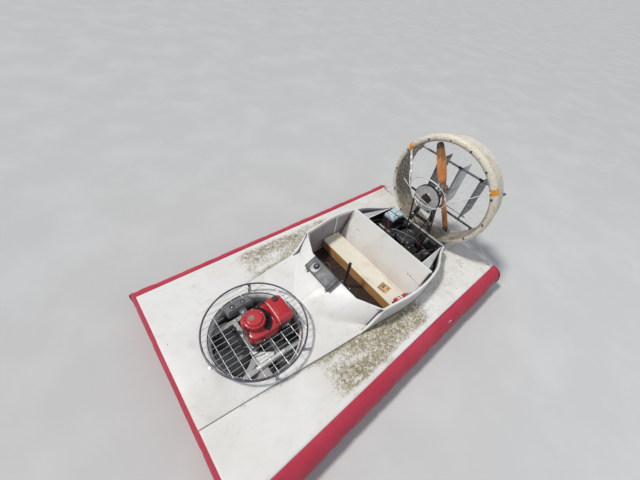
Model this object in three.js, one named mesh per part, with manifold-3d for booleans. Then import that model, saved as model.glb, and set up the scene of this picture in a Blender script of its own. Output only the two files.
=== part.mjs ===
// Small two-engine hovercraft. Millimetres, +Z up, bow towards -Y, port side towards +X.
// A hull box with a raised centre deck, a lift fan in the bow, an open cockpit and a
// propeller in a round duct over the stern.
import * as THREE from "three";
import { mergeVertices } from "three/addons/utils/BufferGeometryUtils.js";
import Module from "manifold-3d";

const wasm = await Module();
wasm.setup();

// ---------- driving dimensions ----------
const GAP = 0.3;              // gap between pieces that touch
const LENGTH = 3420;          // hull, bow edge to transom
const AFT_REACH = 3640;       // rudder trailing edges, from the bow edge
const BULGE_BOW = 40;         // the skirt stands this far before the bow edge
const DECK = 330;             // side deck above the ground
const CENTRE_DECK = 348;      // raised centre deck
const SKID = 40;              // landing runners under the hull
const BASE_TOP = 130;         // top of the hull bottom
const FLOOR = 142;            // cockpit floor surface
const MID = (AFT_REACH - BULGE_BOW) / 2;   // bow edge to the middle of the whole length

// lift fan
const FAN_S = 705, OPENING_R = 405, LIFT_BORE = 385, FAN_R = 372;
const GUARD_R = 450, GUARD_Z = CENTRE_DECK + 112, GUARD_ROD = 8;
const CELL_X = 50, CELL_S = 100;  // guard mesh: spacing across and along the craft
// thrust unit
const DUCT_S = 3050, DUCT_Z = DECK + 642, DUCT_DEPTH = 260;
const THROAT_R = 556, LIP_R = 636, PROP_R = 532, PROP_S = 3172;
const PULLEY_R = 145, PULLEY_S = 2868, SMALL_PULLEY_R = 60, SMALL_PULLEY_Z = DECK + 70;
const RUDDER_S = 3365, RUDDER_PITCH = 265, RUDDER_CHORD = 305;
const BAR_TOP_Z = DECK + 862, BAR_LOW_Z = DECK + 290;

// plan stations of the hull side: distance from the bow edge, half width
const SIDE = [
  { s: 0, half: 950 }, { s: 1150, half: 930 }, { s: 2300, half: 905 }, { s: LENGTH, half: 890 },
];
// inner boundary of the side decks: the step to the centre deck, then the cockpit side
const INNER = [
  { s: 0, half: 400 }, { s: 600, half: 462 }, { s: 1150, half: 528 }, { s: 1690, half: 580 },
  { s: 2140, half: 628 }, { s: 2560, half: 575 }, { s: 2940, half: 410 },
];
// cockpit coaming: same plan from the dash aft, with the height of its rim above the deck
const RIM = [
  { s: 1690, half: 580, rim: 250 }, { s: 2140, half: 628, rim: 245 },
  { s: 2560, half: 575, rim: 220 }, { s: 2940, half: 410, rim: 185 },
];
const COAMING_T = 16;

// ---------- geometry helpers ----------
const Y = (s) => s - MID;      // distance from the bow edge to the craft's own Y
const V = (x, s, z) => new THREE.Vector3(x, Y(s), z);

function solid(geometry) {
  const g = geometry.clone();
  for (const name of Object.keys(g.attributes)) if (name !== "position") g.deleteAttribute(name);
  const m = mergeVertices(g, 1e-3);
  return new wasm.Manifold(new wasm.Mesh({
    numProp: 3,
    vertProperties: new Float32Array(m.attributes.position.array),
    triVerts: new Uint32Array(m.index.array),
  }));
}
function geometryOf(manifold) {
  const m = manifold.getMesh();
  const g = new THREE.BufferGeometry();
  const p = new Float32Array(m.numVert * 3);
  for (let i = 0; i < m.numVert; i++)
    for (let k = 0; k < 3; k++) p[i * 3 + k] = m.vertProperties[i * m.numProp + k];
  g.setAttribute("position", new THREE.BufferAttribute(p, 3));
  g.setIndex(new THREE.BufferAttribute(new Uint32Array(m.triVerts), 1));
  return g;
}
const union = (list) => list.map(solid).reduce((a, b) => a.add(b));
const within = (a, b) => a.intersect(solid(b));
const cut = (a, list) => list.map(solid).reduce((m, b) => m.subtract(b), a);

// upright prism of a plan outline [[x, s], ...] between two heights
function plan(points, z0, z1) {
  const shape = new THREE.Shape(points.map(([x, s]) => new THREE.Vector2(x, Y(s))));
  const g = new THREE.ExtrudeGeometry(shape, { depth: z1 - z0, bevelEnabled: false, curveSegments: 24 });
  return g.translate(0, 0, z0);
}
// prism of a side outline [[s, z], ...] between two x
function profile(points, x0, x1) {
  const shape = new THREE.Shape(points.map(([s, z]) => new THREE.Vector2(Y(s), z)));
  const g = new THREE.ExtrudeGeometry(shape, { depth: x1 - x0, bevelEnabled: false });
  g.applyMatrix4(new THREE.Matrix4().makeBasis(
    new THREE.Vector3(0, 1, 0), new THREE.Vector3(0, 0, 1), new THREE.Vector3(1, 0, 0)));
  return g.translate(x0, 0, 0);
}
// prism of a cross outline [[x, z], ...] between two stations
function across(points, s0, s1) {
  const shape = new THREE.Shape(points.map(([x, z]) => new THREE.Vector2(x, z)));
  const g = new THREE.ExtrudeGeometry(shape, { depth: s1 - s0, bevelEnabled: false });
  g.rotateX(Math.PI / 2);                       // outline in XZ, depth towards -Y
  return g.translate(0, Y(s1), 0);
}
function block(x0, x1, s0, s1, z0, z1) {
  return new THREE.BoxGeometry(x1 - x0, s1 - s0, z1 - z0)
    .translate((x0 + x1) / 2, Y((s0 + s1) / 2), (z0 + z1) / 2);
}
function drumZ(r, x, s, z0, z1, n = 32, r2 = r) {
  return new THREE.CylinderGeometry(r2, r, z1 - z0, n).rotateX(Math.PI / 2)
    .translate(x, Y(s), (z0 + z1) / 2);
}
function drumY(r, x, z, s0, s1, n = 32, rAft = r) {
  return new THREE.CylinderGeometry(rAft, r, s1 - s0, n).translate(x, Y((s0 + s1) / 2), z);
}
function drumX(r, s, z, x0, x1, n = 32) {
  return new THREE.CylinderGeometry(r, r, x1 - x0, n).rotateZ(Math.PI / 2)
    .translate((x0 + x1) / 2, Y(s), z);
}
function rod(a, b, r, n = 8) {
  const d = b.clone().sub(a);
  const g = new THREE.CylinderGeometry(r, r, d.length(), n);
  g.applyQuaternion(new THREE.Quaternion().setFromUnitVectors(new THREE.Vector3(0, 1, 0), d.clone().normalize()));
  const m = a.clone().add(b).multiplyScalar(0.5);
  return g.translate(m.x, m.y, m.z);
}
// square strut between two points, "up" sets the direction of its height
function strut(a, b, wide, high, up = new THREE.Vector3(0, 0, 1)) {
  const y = b.clone().sub(a); const length = y.length(); y.normalize();
  const x = y.clone().cross(up).normalize(); const z = x.clone().cross(y).normalize();
  const g = new THREE.BoxGeometry(wide, length, high);
  g.applyMatrix4(new THREE.Matrix4().makeBasis(x, y, z));
  const m = a.clone().add(b).multiplyScalar(0.5);
  return g.translate(m.x, m.y, m.z);
}
// closed ring turned about an axis: outline [[radius, along], ...]
function ringZ(outline, x, s, n) {
  const pts = outline.concat([outline[0]]).map(([r, h]) => new THREE.Vector2(r, h));
  return new THREE.LatheGeometry(pts, n).rotateX(Math.PI / 2).translate(x, Y(s), 0);
}
function ringY(outline, z, n) {               // along is measured from the bow edge
  const pts = outline.concat([outline[0]]).map(([r, h]) => new THREE.Vector2(r, Y(h)));
  return new THREE.LatheGeometry(pts, n).translate(0, 0, z);
}
// solid through a row of like sections (each a ring of Vector3), ends closed flat
function loft(sections) {
  const n = sections[0].length, pos = [], idx = [];
  for (const ring of sections) for (const p of ring) pos.push(p.x, p.y, p.z);
  for (let i = 0; i + 1 < sections.length; i++)
    for (let j = 0; j < n; j++) {
      const a = i * n + j, b = i * n + (j + 1) % n, c = a + n, d = b + n;
      idx.push(a, b, d, a, d, c);
    }
  const last = (sections.length - 1) * n;
  for (let j = 1; j + 1 < n; j++) { idx.push(0, j + 1, j); idx.push(last, last + j, last + j + 1); }
  const g = new THREE.BufferGeometry();
  g.setAttribute("position", new THREE.Float32BufferAttribute(pos, 3));
  g.setIndex(idx);
  let volume = 0;
  const p = (i) => new THREE.Vector3(pos[3 * i], pos[3 * i + 1], pos[3 * i + 2]);
  for (let t = 0; t < idx.length; t += 3) volume += p(idx[t]).dot(p(idx[t + 1]).cross(p(idx[t + 2])));
  if (volume < 0) for (let t = 0; t < idx.length; t += 3) [idx[t + 1], idx[t + 2]] = [idx[t + 2], idx[t + 1]];
  g.setIndex(idx);
  return g;
}
const at = (table, s, key = "half") => {
  for (let i = 0; i + 1 < table.length; i++) {
    const a = table[i], b = table[i + 1];
    if (s <= b.s || i + 2 === table.length) return a[key] + (b[key] - a[key]) * (s - a.s) / (b.s - a.s);
  }
};

// ---------- materials ----------
const paint = {
  white: [0xe4e1d8, 0.55, 0], dirty: [0xd9d3c4, 0.7, 0], red: [0xa01c2c, 0.45, 0],
  engineRed: [0xb8182a, 0.4, 0], black: [0x1c1c1e, 0.55, 0.2], steel: [0x3a3b3f, 0.5, 0.7],
  silver: [0xb9bcc0, 0.3, 0.9], brown: [0x3c2114, 0.8, 0], plywood: [0xa9672f, 0.7, 0],
  cream: [0xe2d9c0, 0.65, 0], grey: [0x6b6d70, 0.6, 0], orange: [0xc8641c, 0.5, 0],
  duct: [0xcfc6b0, 0.7, 0], paleBlue: [0xbfd8e0, 0.5, 0], rubber: [0x202022, 0.85, 0],
  wood: [0x6d5a3c, 0.85, 0], aluminium: [0x8d9196, 0.45, 0.8], paleGrey: [0x9fa3a6, 0.6, 0.1],
};
const craft = new THREE.Group();
function piece(name, finish, shape) {
  const [color, roughness, metalness] = paint[finish];
  const g = shape.isBufferGeometry ? shape : geometryOf(shape);
  const mesh = new THREE.Mesh(g, new THREE.MeshStandardMaterial({ color, roughness, metalness }));
  mesh.name = name;
  craft.add(mesh);
  return mesh;
}
const both = [["port", 1], ["starboard", -1]];

// ---------- hull ----------
const sideLine = (inset, from = 0, to = LENGTH) =>
  SIDE.map(({ s, half }) => [half - inset, Math.min(Math.max(s, from), to)]);
const mirrored = (line) => line.map(([x, s]) => [-x, s]).reverse();
const hullPlan = (inset) => [...sideLine(inset), ...mirrored(sideLine(inset))];

piece("hull_bottom", "dirty", cut(solid(plan(hullPlan(0), SKID + GAP, BASE_TOP - GAP)),
  [drumZ(LIFT_BORE + 16, 0, FAN_S, 0, 200, 64)]));
[["port", 620], ["centre", 0], ["starboard", -620]].forEach(([side, x]) =>
  piece(`skid_${side}`, "wood", profile([[1220, 0], [3200, 0], [3260, 20], [3260, SKID], [1140, SKID], [1140, 26]], x - 32, x + 32)));

// centre deck: from the bow to the nose of the cowl, over the full depth of the hull
const COWL_NOSE = [                      // foot of the cowl on the centre deck: x, s
  [528, 1560], [380, 1418], [230, 1298], [120, 1208], [40, 1166], [0, 1160],
];
const noseBoth = [...COWL_NOSE, ...COWL_NOSE.slice(0, -1).map(([x, s]) => [-x, s]).reverse()];
const foreEdge = INNER.slice(0, 3).map(({ s, half }) => [half - GAP, s]);
const foredeckPlan = [...foreEdge, [at(INNER, 1560) - GAP, 1560], ...noseBoth, [-(at(INNER, 1560) - GAP), 1560], ...mirrored(foreEdge)];
piece("foredeck", "white", cut(solid(plan(foredeckPlan, BASE_TOP, CENTRE_DECK)),
  [drumZ(OPENING_R + 14, 0, FAN_S, 100, 400, 64)]));

// side decks, from the bow to the end of the cockpit coaming and on to the transom
both.forEach(([side, k]) => {
  const outer = SIDE.map(({ s, half }) => [k * half, s]);
  const inner = INNER.map(({ s, half }) => [k * half, s]).reverse();
  piece(`side_deck_${side}`, "white", solid(plan([...outer, [k * 410, LENGTH], ...inner], BASE_TOP, DECK)));
});
piece("stern_deck", "white", solid(plan([[410 - GAP, 2962], [410 - GAP, LENGTH], [-(410 - GAP), LENGTH], [-(410 - GAP), 2962]], BASE_TOP, DECK)));
const floorPlan = [[500, 1575], [560, 1690], [606, 2140], [560, 2520], [392, 2938]];
piece("cockpit_floor", "brown", union([plan([...floorPlan, ...mirrored(floorPlan),
  [-380, 1440], [-230, 1320], [-100, 1220], [0, 1190], [100, 1220], [230, 1320], [380, 1440]], BASE_TOP, FLOOR),
  block(-55, 55, 1770, 1850, FLOOR - 4, FLOOR + 30)]));      // foot of the steering lever

// cowl: a ruled shell from its foot on the centre deck up to the dash edge
const COWL_T = 14;
const COWL = [                           // foot x, s -> edge x, s, rim height above the deck
  { x: 560, s: 1600, ex: 574, es: 1688, ez: 248 },
  { x: 505, s: 1545, ex: 540, es: 1668, ez: 246 },
  { x: 360, s: 1404, ex: 420, es: 1616, ez: 232 },
  { x: 225, s: 1296, ex: 335, es: 1577, ez: 222 },
  { x: 100, s: 1198, ex: 160, es: 1575, ez: 222 },
  { x: 0, s: 1162, ex: 0, es: 1575, ez: 222 },
];
const cowlRow = [...COWL, ...COWL.slice(0, -1).map((r) => ({ ...r, x: -r.x, ex: -r.ex })).reverse()];
const COWL_FOOT = CENTRE_DECK + GAP;
piece("cowl", "white", solid(loft(cowlRow.map(({ x, s, ex, es, ez }) => [
  V(x, s - 22, COWL_FOOT), V(x, s - 22, COWL_FOOT + 5), V(ex, es, DECK + ez), V(ex, es, DECK + ez - COWL_T), V(x, s + 8, COWL_FOOT),
]))));

// coaming: a panel from the floor to its rim on each side of the cockpit
both.forEach(([side, k]) => {
  const rows = [];
  const stations = [{ s: 1692, half: 580, rim: 250 }, ...RIM.slice(1, -1), { s: 2940, half: 410, rim: 185 }];
  stations.forEach(({ s, half, rim }) => {
    const o = half - GAP, i = o - COAMING_T;
    rows.push([V(k * o, s, FLOOR + GAP), V(k * o, s, DECK + rim), V(k * i, s, DECK + rim), V(k * i, s, FLOOR + GAP)]);
  });
  piece(`coaming_${side}`, "white", solid(loft(rows)));
});

// skirt: four bags of one section along the hull sides, mitred at the corners
const BAG = [                            // out from the hull side, height
  [GAP, 322], [38, 316], [92, 280], [128, 222], [136, 150], [112, 76], [62, 24], [GAP, 6],
];
const corners = [[950, 0], [890, LENGTH], [-890, LENGTH], [-950, 0]];
function bag(name, a, b, na, nb) {       // a, b: hull corners; na, nb: outward direction at each corner
  const outA = new THREE.Vector2(...na), outB = new THREE.Vector2(...nb);
  piece(name, "red", solid(loft([[a, outA], [b, outB]].map(([[x, s], o]) =>
    BAG.map(([out, z]) => V(x + o.x * out, s + o.y * out, z))))));
}
const BOW_SCALE = BULGE_BOW / 136, EDGE = 0.8;      // the bow and stern bags stand out less than the side bags
both.forEach(([side, k]) => bag(`skirt_${side}`, [k * 950, EDGE], [k * 890, LENGTH - EDGE], [k, -BOW_SCALE], [k, BOW_SCALE]));
bag("skirt_bow", [950 - EDGE, 0], [-(950 - EDGE), 0], [1, -BOW_SCALE], [-1, -BOW_SCALE]);
bag("skirt_stern", [890 - EDGE, LENGTH], [-(890 - EDGE), LENGTH], [1, BOW_SCALE], [-1, BOW_SCALE]);

// ---------- lift fan unit ----------
piece("lift_duct", "white", solid(ringZ([
  [LIFT_BORE, SKID + 10], [LIFT_BORE + 14, SKID + 10], [LIFT_BORE + 14, 280], [OPENING_R + 12, 320],
  [OPENING_R + 12, CENTRE_DECK + 4], [OPENING_R + 8, CENTRE_DECK + 9], [OPENING_R - 6, CENTRE_DECK + 4], [LIFT_BORE, 315],
], 0, FAN_S, 64)));
const BEAM_Z = 236;
piece("lift_engine_mount", "paleGrey", within(union([
  block(-275, -235, FAN_S - 300, FAN_S + 300, BEAM_Z - 17, BEAM_Z + 17),
  block(235, 275, FAN_S - 300, FAN_S + 300, BEAM_Z - 17, BEAM_Z + 17),
  block(-260, 260, FAN_S - 105, FAN_S - 65, BEAM_Z - 14, BEAM_Z + 17),
  block(-260, 260, FAN_S + 65, FAN_S + 105, BEAM_Z - 14, BEAM_Z + 17),
]), drumZ(LIFT_BORE - 0.8, 0, FAN_S, 100, 400, 64)));
const CASE_Z = BEAM_Z + 17 + GAP, SHROUD_Z = 424;      // foot of the engine block, foot of the shroud
piece("lift_engine", "black", union([
  block(-96, 104, FAN_S - 100, FAN_S + 100, CASE_Z, SHROUD_Z - GAP),
  block(-48, 92, FAN_S + 90, FAN_S + 300, 330, SHROUD_Z - GAP),
  drumZ(16, 0, FAN_S, 206, BEAM_Z + 40, 16),
]));
piece("lift_engine_shroud", "engineRed", union([
  plan([[-116, 650], [-80, 606], [90, 606], [128, 640], [138, 800], [-116, 800]], SHROUD_Z, 532),
  drumZ(94, 0, FAN_S - 4, 530, 604, 32, 90),
  drumZ(70, 0, FAN_S - 4, 602, 622, 32, 60),
  plan([[-116, 798], [138, 798], [138, 990], [110, 1018], [-90, 1018], [-116, 990]], 470, 584),
]));
piece("lift_air_cleaner", "grey", union([
  block(-286, -196, 556, 800, 436, 532),
  block(-200, -116 - GAP, 656, 720, 446, 500),
]));
{
  const blades = [drumZ(52, 0, FAN_S, 150, 198, 24)];
  for (let i = 0; i < 6; i++) {
    const a = (i * Math.PI) / 3;
    const blade = new THREE.BoxGeometry(FAN_R - 40, 92, 7).rotateX(-0.42)
      .translate((FAN_R + 40) / 2 - 2, 0, 0).rotateZ(a).translate(0, Y(FAN_S), 174);
    blades.push(blade);
  }
  piece("lift_fan", "paleGrey", union(blades));
}
// brackets that carry the guard, round the rim: degrees from port towards the stern
[["bow", -84], ["port", -9], ["port_aft", 34], ["starboard", 157]].forEach(([where, deg]) => {
  const a = THREE.MathUtils.degToRad(deg), top = GUARD_Z - GUARD_ROD - GAP, foot = CENTRE_DECK + GAP;
  const tab = (r0, r1, wide, z0, z1) => new THREE.BoxGeometry(r1 - r0, wide, z1 - z0)
    .translate((r0 + r1) / 2, 0, (z0 + z1) / 2).rotateZ(a).translate(0, Y(FAN_S), 0);
  piece(`guard_bracket_${where}`, "aluminium", union([
    tab(GUARD_R - 26, GUARD_R + 14, 36, foot, foot + 4), tab(GUARD_R - 4, GUARD_R, 30, foot + 2, top), tab(GUARD_R - 12, GUARD_R + 10, 30, top - 4, top)]));
});
{
  // guard: a rod ring with a welded mesh, cut out round the engine
  const parts = [new THREE.TorusGeometry(GUARD_R, GUARD_ROD, 8, 64).translate(0, Y(FAN_S), GUARD_Z)];
  const wire = 4.2, up = new THREE.Vector3(0, 0, 1);
  for (let d = -425; d <= 425; d += CELL_X) {
    const h = Math.sqrt(GUARD_R * GUARD_R - d * d);
    parts.push(strut(V(d, FAN_S - h, GUARD_Z + 2), V(d, FAN_S + h, GUARD_Z + 2), wire, wire, up));
  }
  for (let d = -350; d <= 350; d += CELL_S) {
    const h = Math.sqrt(GUARD_R * GUARD_R - d * d);
    parts.push(strut(V(-h, FAN_S + d, GUARD_Z - 1.5), V(h, FAN_S + d, GUARD_Z - 1.5), wire, wire, up));
  }
  piece("fan_guard", "steel", cut(union(parts), [block(-306, 162, 524, 1042, GUARD_Z - 20, GUARD_Z + 20)]));
}

// ---------- cockpit ----------
{
  // console lying on the cowl in front of the dash edge
  const g = new THREE.BoxGeometry(370, 150, 62);
  const cowlSlope = Math.atan2(DECK + 222 - COWL_FOOT, 1575 - 1162);
  const body = g.rotateX(cowlSlope).translate(-70, Y(1490), 0);
  body.translate(0, 0, COWL_FOOT + (1490 - 1162) * Math.tan(cowlSlope) + 40);
  piece("console", "grey", solid(body));
  const knob = new THREE.CylinderGeometry(26, 32, 26, 24).rotateX(Math.PI / 2 + cowlSlope)
    .translate(-150, Y(1478), COWL_FOOT + (1478 - 1162) * Math.tan(cowlSlope) + 90);
  piece("console_knob", "black", solid(knob));
}
const SEAT_Z = 262;
piece("seat_base", "plywood", solid(plan([[588, 1992], [600, 2140], [588, 2236], [-588, 2236], [-600, 2140], [-588, 1992]], FLOOR + GAP, SEAT_Z)));
piece("seat_top", "cream", solid(plan([[588, 1984], [602, 2140], [590, 2228], [-590, 2228], [-602, 2140], [-588, 1984]], SEAT_Z + GAP, SEAT_Z + 16)));
piece("seat_back", "white", solid(loft([1, -1].map((k) => [
  V(k * 588, 2242, FLOOR + GAP), V(k * 570, 2420, DECK + 252), V(k * 562, 2438, DECK + 252), V(k * 580, 2260, FLOOR + GAP)]))));
piece("extinguisher", "engineRed", union([
  rod(V(524, 2010, SEAT_Z + 62), V(558, 2200, SEAT_Z + 74), 40, 20),
  rod(V(520, 1985, SEAT_Z + 60), V(526, 2020, SEAT_Z + 62), 18, 12),
  block(492, 572, 2090, 2120, SEAT_Z + 16 + GAP, SEAT_Z + 50),
]));
piece("steering_stick", "black", union([
  rod(V(0, 1810, FLOOR + 36), V(0, 1810, FLOOR + 330), 11, 12),
  rod(V(0, 1810, FLOOR + 300), V(0, 1810, FLOOR + 420), 17, 12),
]));

// ---------- thrust engine ----------
piece("engine_rails", "steel", union([
  block(-190, -150, 2480, 2900, FLOOR + GAP, FLOOR + 50), block(150, 190, 2480, 2900, FLOOR + GAP, FLOOR + 50),
  block(-190, 190, 2600, 2640, FLOOR + 4, FLOOR + 44), block(-190, 190, 2780, 2820, FLOOR + 4, FLOOR + 44),
]));
piece("thrust_engine", "steel", union([
  block(-170, 200, 2520, 2830, FLOOR + 51, DECK + 150),
  block(-240, -160, 2540, 2670, DECK - 40, DECK + 110),
  drumY(24, 0, SMALL_PULLEY_Z, 2820, PULLEY_S - 26, 20),
]));
piece("engine_cover", "black", solid(drumZ(114, 50, 2686, DECK + 150 + GAP, DECK + 205, 32, 96)));
piece("engine_pulley", "steel", solid(drumY(SMALL_PULLEY_R, 0, SMALL_PULLEY_Z, PULLEY_S - 20, PULLEY_S + 20, 24)));
piece("battery", "black", solid(block(-345, -190, 2712, 2915, DECK + 40, DECK + 235)));
piece("bay_wall", "white", union([plan([[392, 2944], [385, 2960], [-385, 2960], [-392, 2944]], FLOOR, DECK + 185),
  block(-362, -180, 2700, 2950, DECK + 24, DECK + 40 - GAP)]));      // with the battery shelf
both.forEach(([side, k]) => piece(`bay_gusset_${side}`, "paleGrey",
  solid(plan([[k * 418, 2423], [k * 548, 2423], [k * 402, 2900], [k * 392, 2900]], DECK + 176, DECK + 184))));

// shaft tower: two legs, a cross plate and an open saddle for the bearing
const TOWER_S = 3000;
piece("prop_tower", "black", cut(union([
  strut(V(-170, TOWER_S, DECK + 2), V(-58, TOWER_S, DUCT_Z - 40), 40, 40, new THREE.Vector3(0, 1, 0)),
  strut(V(170, TOWER_S, DECK + 2), V(58, TOWER_S, DUCT_Z - 40), 40, 40, new THREE.Vector3(0, 1, 0)),
  block(-82, 82, TOWER_S - 20, TOWER_S + 20, DUCT_Z - 62, DUCT_Z - 30),
  block(-82, -34, TOWER_S - 20, TOWER_S + 20, DUCT_Z - 40, DUCT_Z + 34),
  block(34, 82, TOWER_S - 20, TOWER_S + 20, DUCT_Z - 40, DUCT_Z + 34),
  block(-130, 130, TOWER_S - 12, TOWER_S + 12, DECK + 250, DECK + 282),
  block(-200, 200, TOWER_S - 20, TOWER_S + 20, DECK + GAP, DECK + 14),
]), [block(-400, 400, TOWER_S - 100, TOWER_S + 100, 0, DECK + GAP)]));
const propTilt = THREE.MathUtils.degToRad(30);   // the blades rest with the upper tip to starboard
{
  const parts = [drumY(22, 0, DUCT_Z, PULLEY_S + 10, PROP_S + 30, 20), drumY(58, 0, DUCT_Z, PROP_S - 30, PROP_S + 30, 24)];
  for (const k of [1, -1]) {
    // blade sections: distance from the hub, chord, thickness, pitch in degrees
    const table = [
      { r: 30, chord: 66, thick: 34, pitch: 40 }, { r: 150, chord: 96, thick: 22, pitch: 30 },
      { r: 330, chord: 100, thick: 15, pitch: 20 }, { r: PROP_R, chord: 70, thick: 8, pitch: 14 },
    ];
    parts.push(loft(table.map(({ r, chord, thick, pitch }) => {
      const p = THREE.MathUtils.degToRad(pitch), c = Math.cos(p), t = Math.sin(p);
      return [[-0.5, 0], [-0.2, 0.5], [0.2, 0.4], [0.5, 0], [0.2, -0.3], [-0.2, -0.4]].map(([u, v]) => {
        const a = u * chord, b = v * thick;
        return new THREE.Vector3(k * (a * c - b * t), a * t + b * c, k * r);
      });
    })).rotateY(-propTilt).translate(0, Y(PROP_S), DUCT_Z));
  }
  piece("propeller", "orange", union(parts));
}
piece("drive_pulley", "silver", union([drumY(PULLEY_R, 0, DUCT_Z, PULLEY_S - 19, PULLEY_S + 9.7, 48), drumY(34, 0, DUCT_Z, PULLEY_S - 44, PULLEY_S - 18, 24)]));
{
  // belt round both pulleys: outline of the two round ends joined by straight runs
  const loop = (extra) => {
    const pts = [];
    const R = PULLEY_R + extra, r = SMALL_PULLEY_R + extra, d = DUCT_Z - SMALL_PULLEY_Z;
    const lean = Math.asin((R - r) / d);
    for (let i = 0; i <= 20; i++) { const a = -lean + (Math.PI + 2 * lean) * i / 20; pts.push([R * Math.cos(a), DUCT_Z + R * Math.sin(a)]); }
    for (let i = 0; i <= 12; i++) { const a = Math.PI + lean + (Math.PI - 2 * lean) * i / 12; pts.push([r * Math.cos(a), SMALL_PULLEY_Z + r * Math.sin(a)]); }
    return pts;
  };
  piece("drive_belt", "rubber", cut(solid(across(loop(8), PULLEY_S - 16, PULLEY_S + 8)), [across(loop(0.8), PULLEY_S - 40, PULLEY_S + 40)]));
}

// ---------- duct and rudders ----------
const LIP = (LIP_R - THROAT_R) / 2, LIP_MID = THROAT_R + LIP;
const ductOutline = (grow) => {             // section of the duct: rolled lip, then the wall to the rear
  const outline = [];
  for (let i = 0; i <= 6; i++) {
    const a = Math.PI - (Math.PI * i) / 6;
    outline.push([LIP_MID + (LIP + grow) * Math.cos(a), DUCT_S + LIP - (LIP + grow) * Math.sin(a)]);
  }
  outline.push([LIP_R - 10 + grow, DUCT_S + 74], [THROAT_R + 40 + grow, DUCT_S + 88 + grow],
    [THROAT_R + 30 + grow, DUCT_S + DUCT_DEPTH + grow], [THROAT_R + 10 - grow, DUCT_S + DUCT_DEPTH + grow]);
  return outline;
};
piece("thrust_duct", "duct", solid(ringY(ductOutline(0), DUCT_Z, 64)));
piece("duct_cradle", "black", cut(union([
  block(-340, 340, DUCT_S + 96, DUCT_S + 256, DECK + GAP, DECK + 12),
  block(-308, -292, DUCT_S + 100, DUCT_S + 250, DECK + 4, DECK + 160),
  block(292, 308, DUCT_S + 100, DUCT_S + 250, DECK + 4, DECK + 160)]),
  [drumY(THROAT_R + 41, 0, DUCT_Z, DUCT_S, DUCT_S + 400, 64)]));
both.forEach(([side, k]) => piece(`duct_brace_${side}`, "silver", cut(union([
  strut(V(k * 866, 3372, DECK + 4), V(k * 530, DUCT_S + 116, DUCT_Z - 250), 9, 9),
  block(k * 866 - 20, k * 866 + 20, 3352, 3392, DECK + GAP, DECK + 8)]),
  [drumY(LIP_R + 0.4, 0, DUCT_Z, DUCT_S - 20, DUCT_S + 84, 64), drumY(THROAT_R + 41, 0, DUCT_Z, DUCT_S, DUCT_S + 400, 64), block(-1200, 1200, 2800, 3500, 0, DECK + GAP)])));
const barArm = (z) => { const h = z - DUCT_Z; return Math.sqrt(576 * 576 - h * h); };
[["top", BAR_TOP_Z], ["low", BAR_LOW_Z]].forEach(([name, z]) => {
  const x = barArm(z);
  piece(`rudder_bar_${name}`, "black", union([
    drumX(13, RUDDER_S, z, -x - 14, x + 14, 12),
    block(-x - 10, -x + 10, DUCT_S + DUCT_DEPTH + GAP, RUDDER_S, z - 10, z + 10),
    block(x - 10, x + 10, DUCT_S + DUCT_DEPTH + GAP, RUDDER_S, z - 10, z + 10),
  ]));
});
const HORN = 95, ROD_Z = BAR_LOW_Z + 4;
[["port", 1], ["centre", 0], ["starboard", -1]].forEach(([side, k]) => {
  const x = k * RUDDER_PITCH, z0 = BAR_LOW_Z + 32, z1 = BAR_TOP_Z - 30;
  piece(`rudder_${side}`, "aluminium", union([
    plan([[x - 2, RUDDER_S - 26], [x + 2, RUDDER_S - 26], [x + 9, RUDDER_S + 10], [x + 2, RUDDER_S + RUDDER_CHORD - 30], [x - 2, RUDDER_S + RUDDER_CHORD - 30], [x - 9, RUDDER_S + 10]], z0, z1),
    drumZ(7, x, RUDDER_S, BAR_LOW_Z + 15, BAR_TOP_Z - 15, 12),
    drumZ(5, x, RUDDER_S + HORN, ROD_Z + 8, z0 + 10, 8),
  ]));
});
piece("tie_rod", "steel", solid(drumX(6, RUDDER_S + HORN, ROD_Z, -RUDDER_PITCH - 20, RUDDER_PITCH + 20, 10)));
// oval hoop in front of the hub, held by a flat strut and a rod from the lip
{
  const HOOP = { s: 2806, z: DUCT_Z + 92, halfX: 225, halfZ: 150 };
  const hoop = new THREE.TorusGeometry(HOOP.halfX, 5, 6, 44).rotateX(Math.PI / 2);
  const p = hoop.attributes.position;     // squeeze the circle to an oval, keep the rod round
  for (let i = 0; i < p.count; i++) {
    const x = p.getX(i), z = p.getZ(i), a = Math.atan2(z, x), out = Math.hypot(x, z) - HOOP.halfX;
    p.setX(i, (HOOP.halfX + out) * Math.cos(a)); p.setZ(i, (HOOP.halfZ + out) * Math.sin(a));
  }
  hoop.translate(0, Y(HOOP.s), HOOP.z);
  const lipEnd = (deg) => {
    const a = THREE.MathUtils.degToRad(deg);
    return V(LIP_MID * Math.cos(a), DUCT_S + 12, DUCT_Z + LIP_MID * Math.sin(a));
  };
  piece("guard_hoop", "silver", cut(union([hoop,
    strut(V(-HOOP.halfX + 2, HOOP.s, HOOP.z), lipEnd(149), 30, 8, new THREE.Vector3(0, 1, 0)),
    rod(V(HOOP.halfX - 4, HOOP.s, HOOP.z - 14), lipEnd(34), 5, 6),
  ]), [ringY(ductOutline(0.4), DUCT_Z, 64)]));
}

export default craft;
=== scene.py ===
import bpy, bmesh, math, random
from mathutils import Matrix, Vector, noise
from mathutils.geometry import tessellate_polygon


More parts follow.
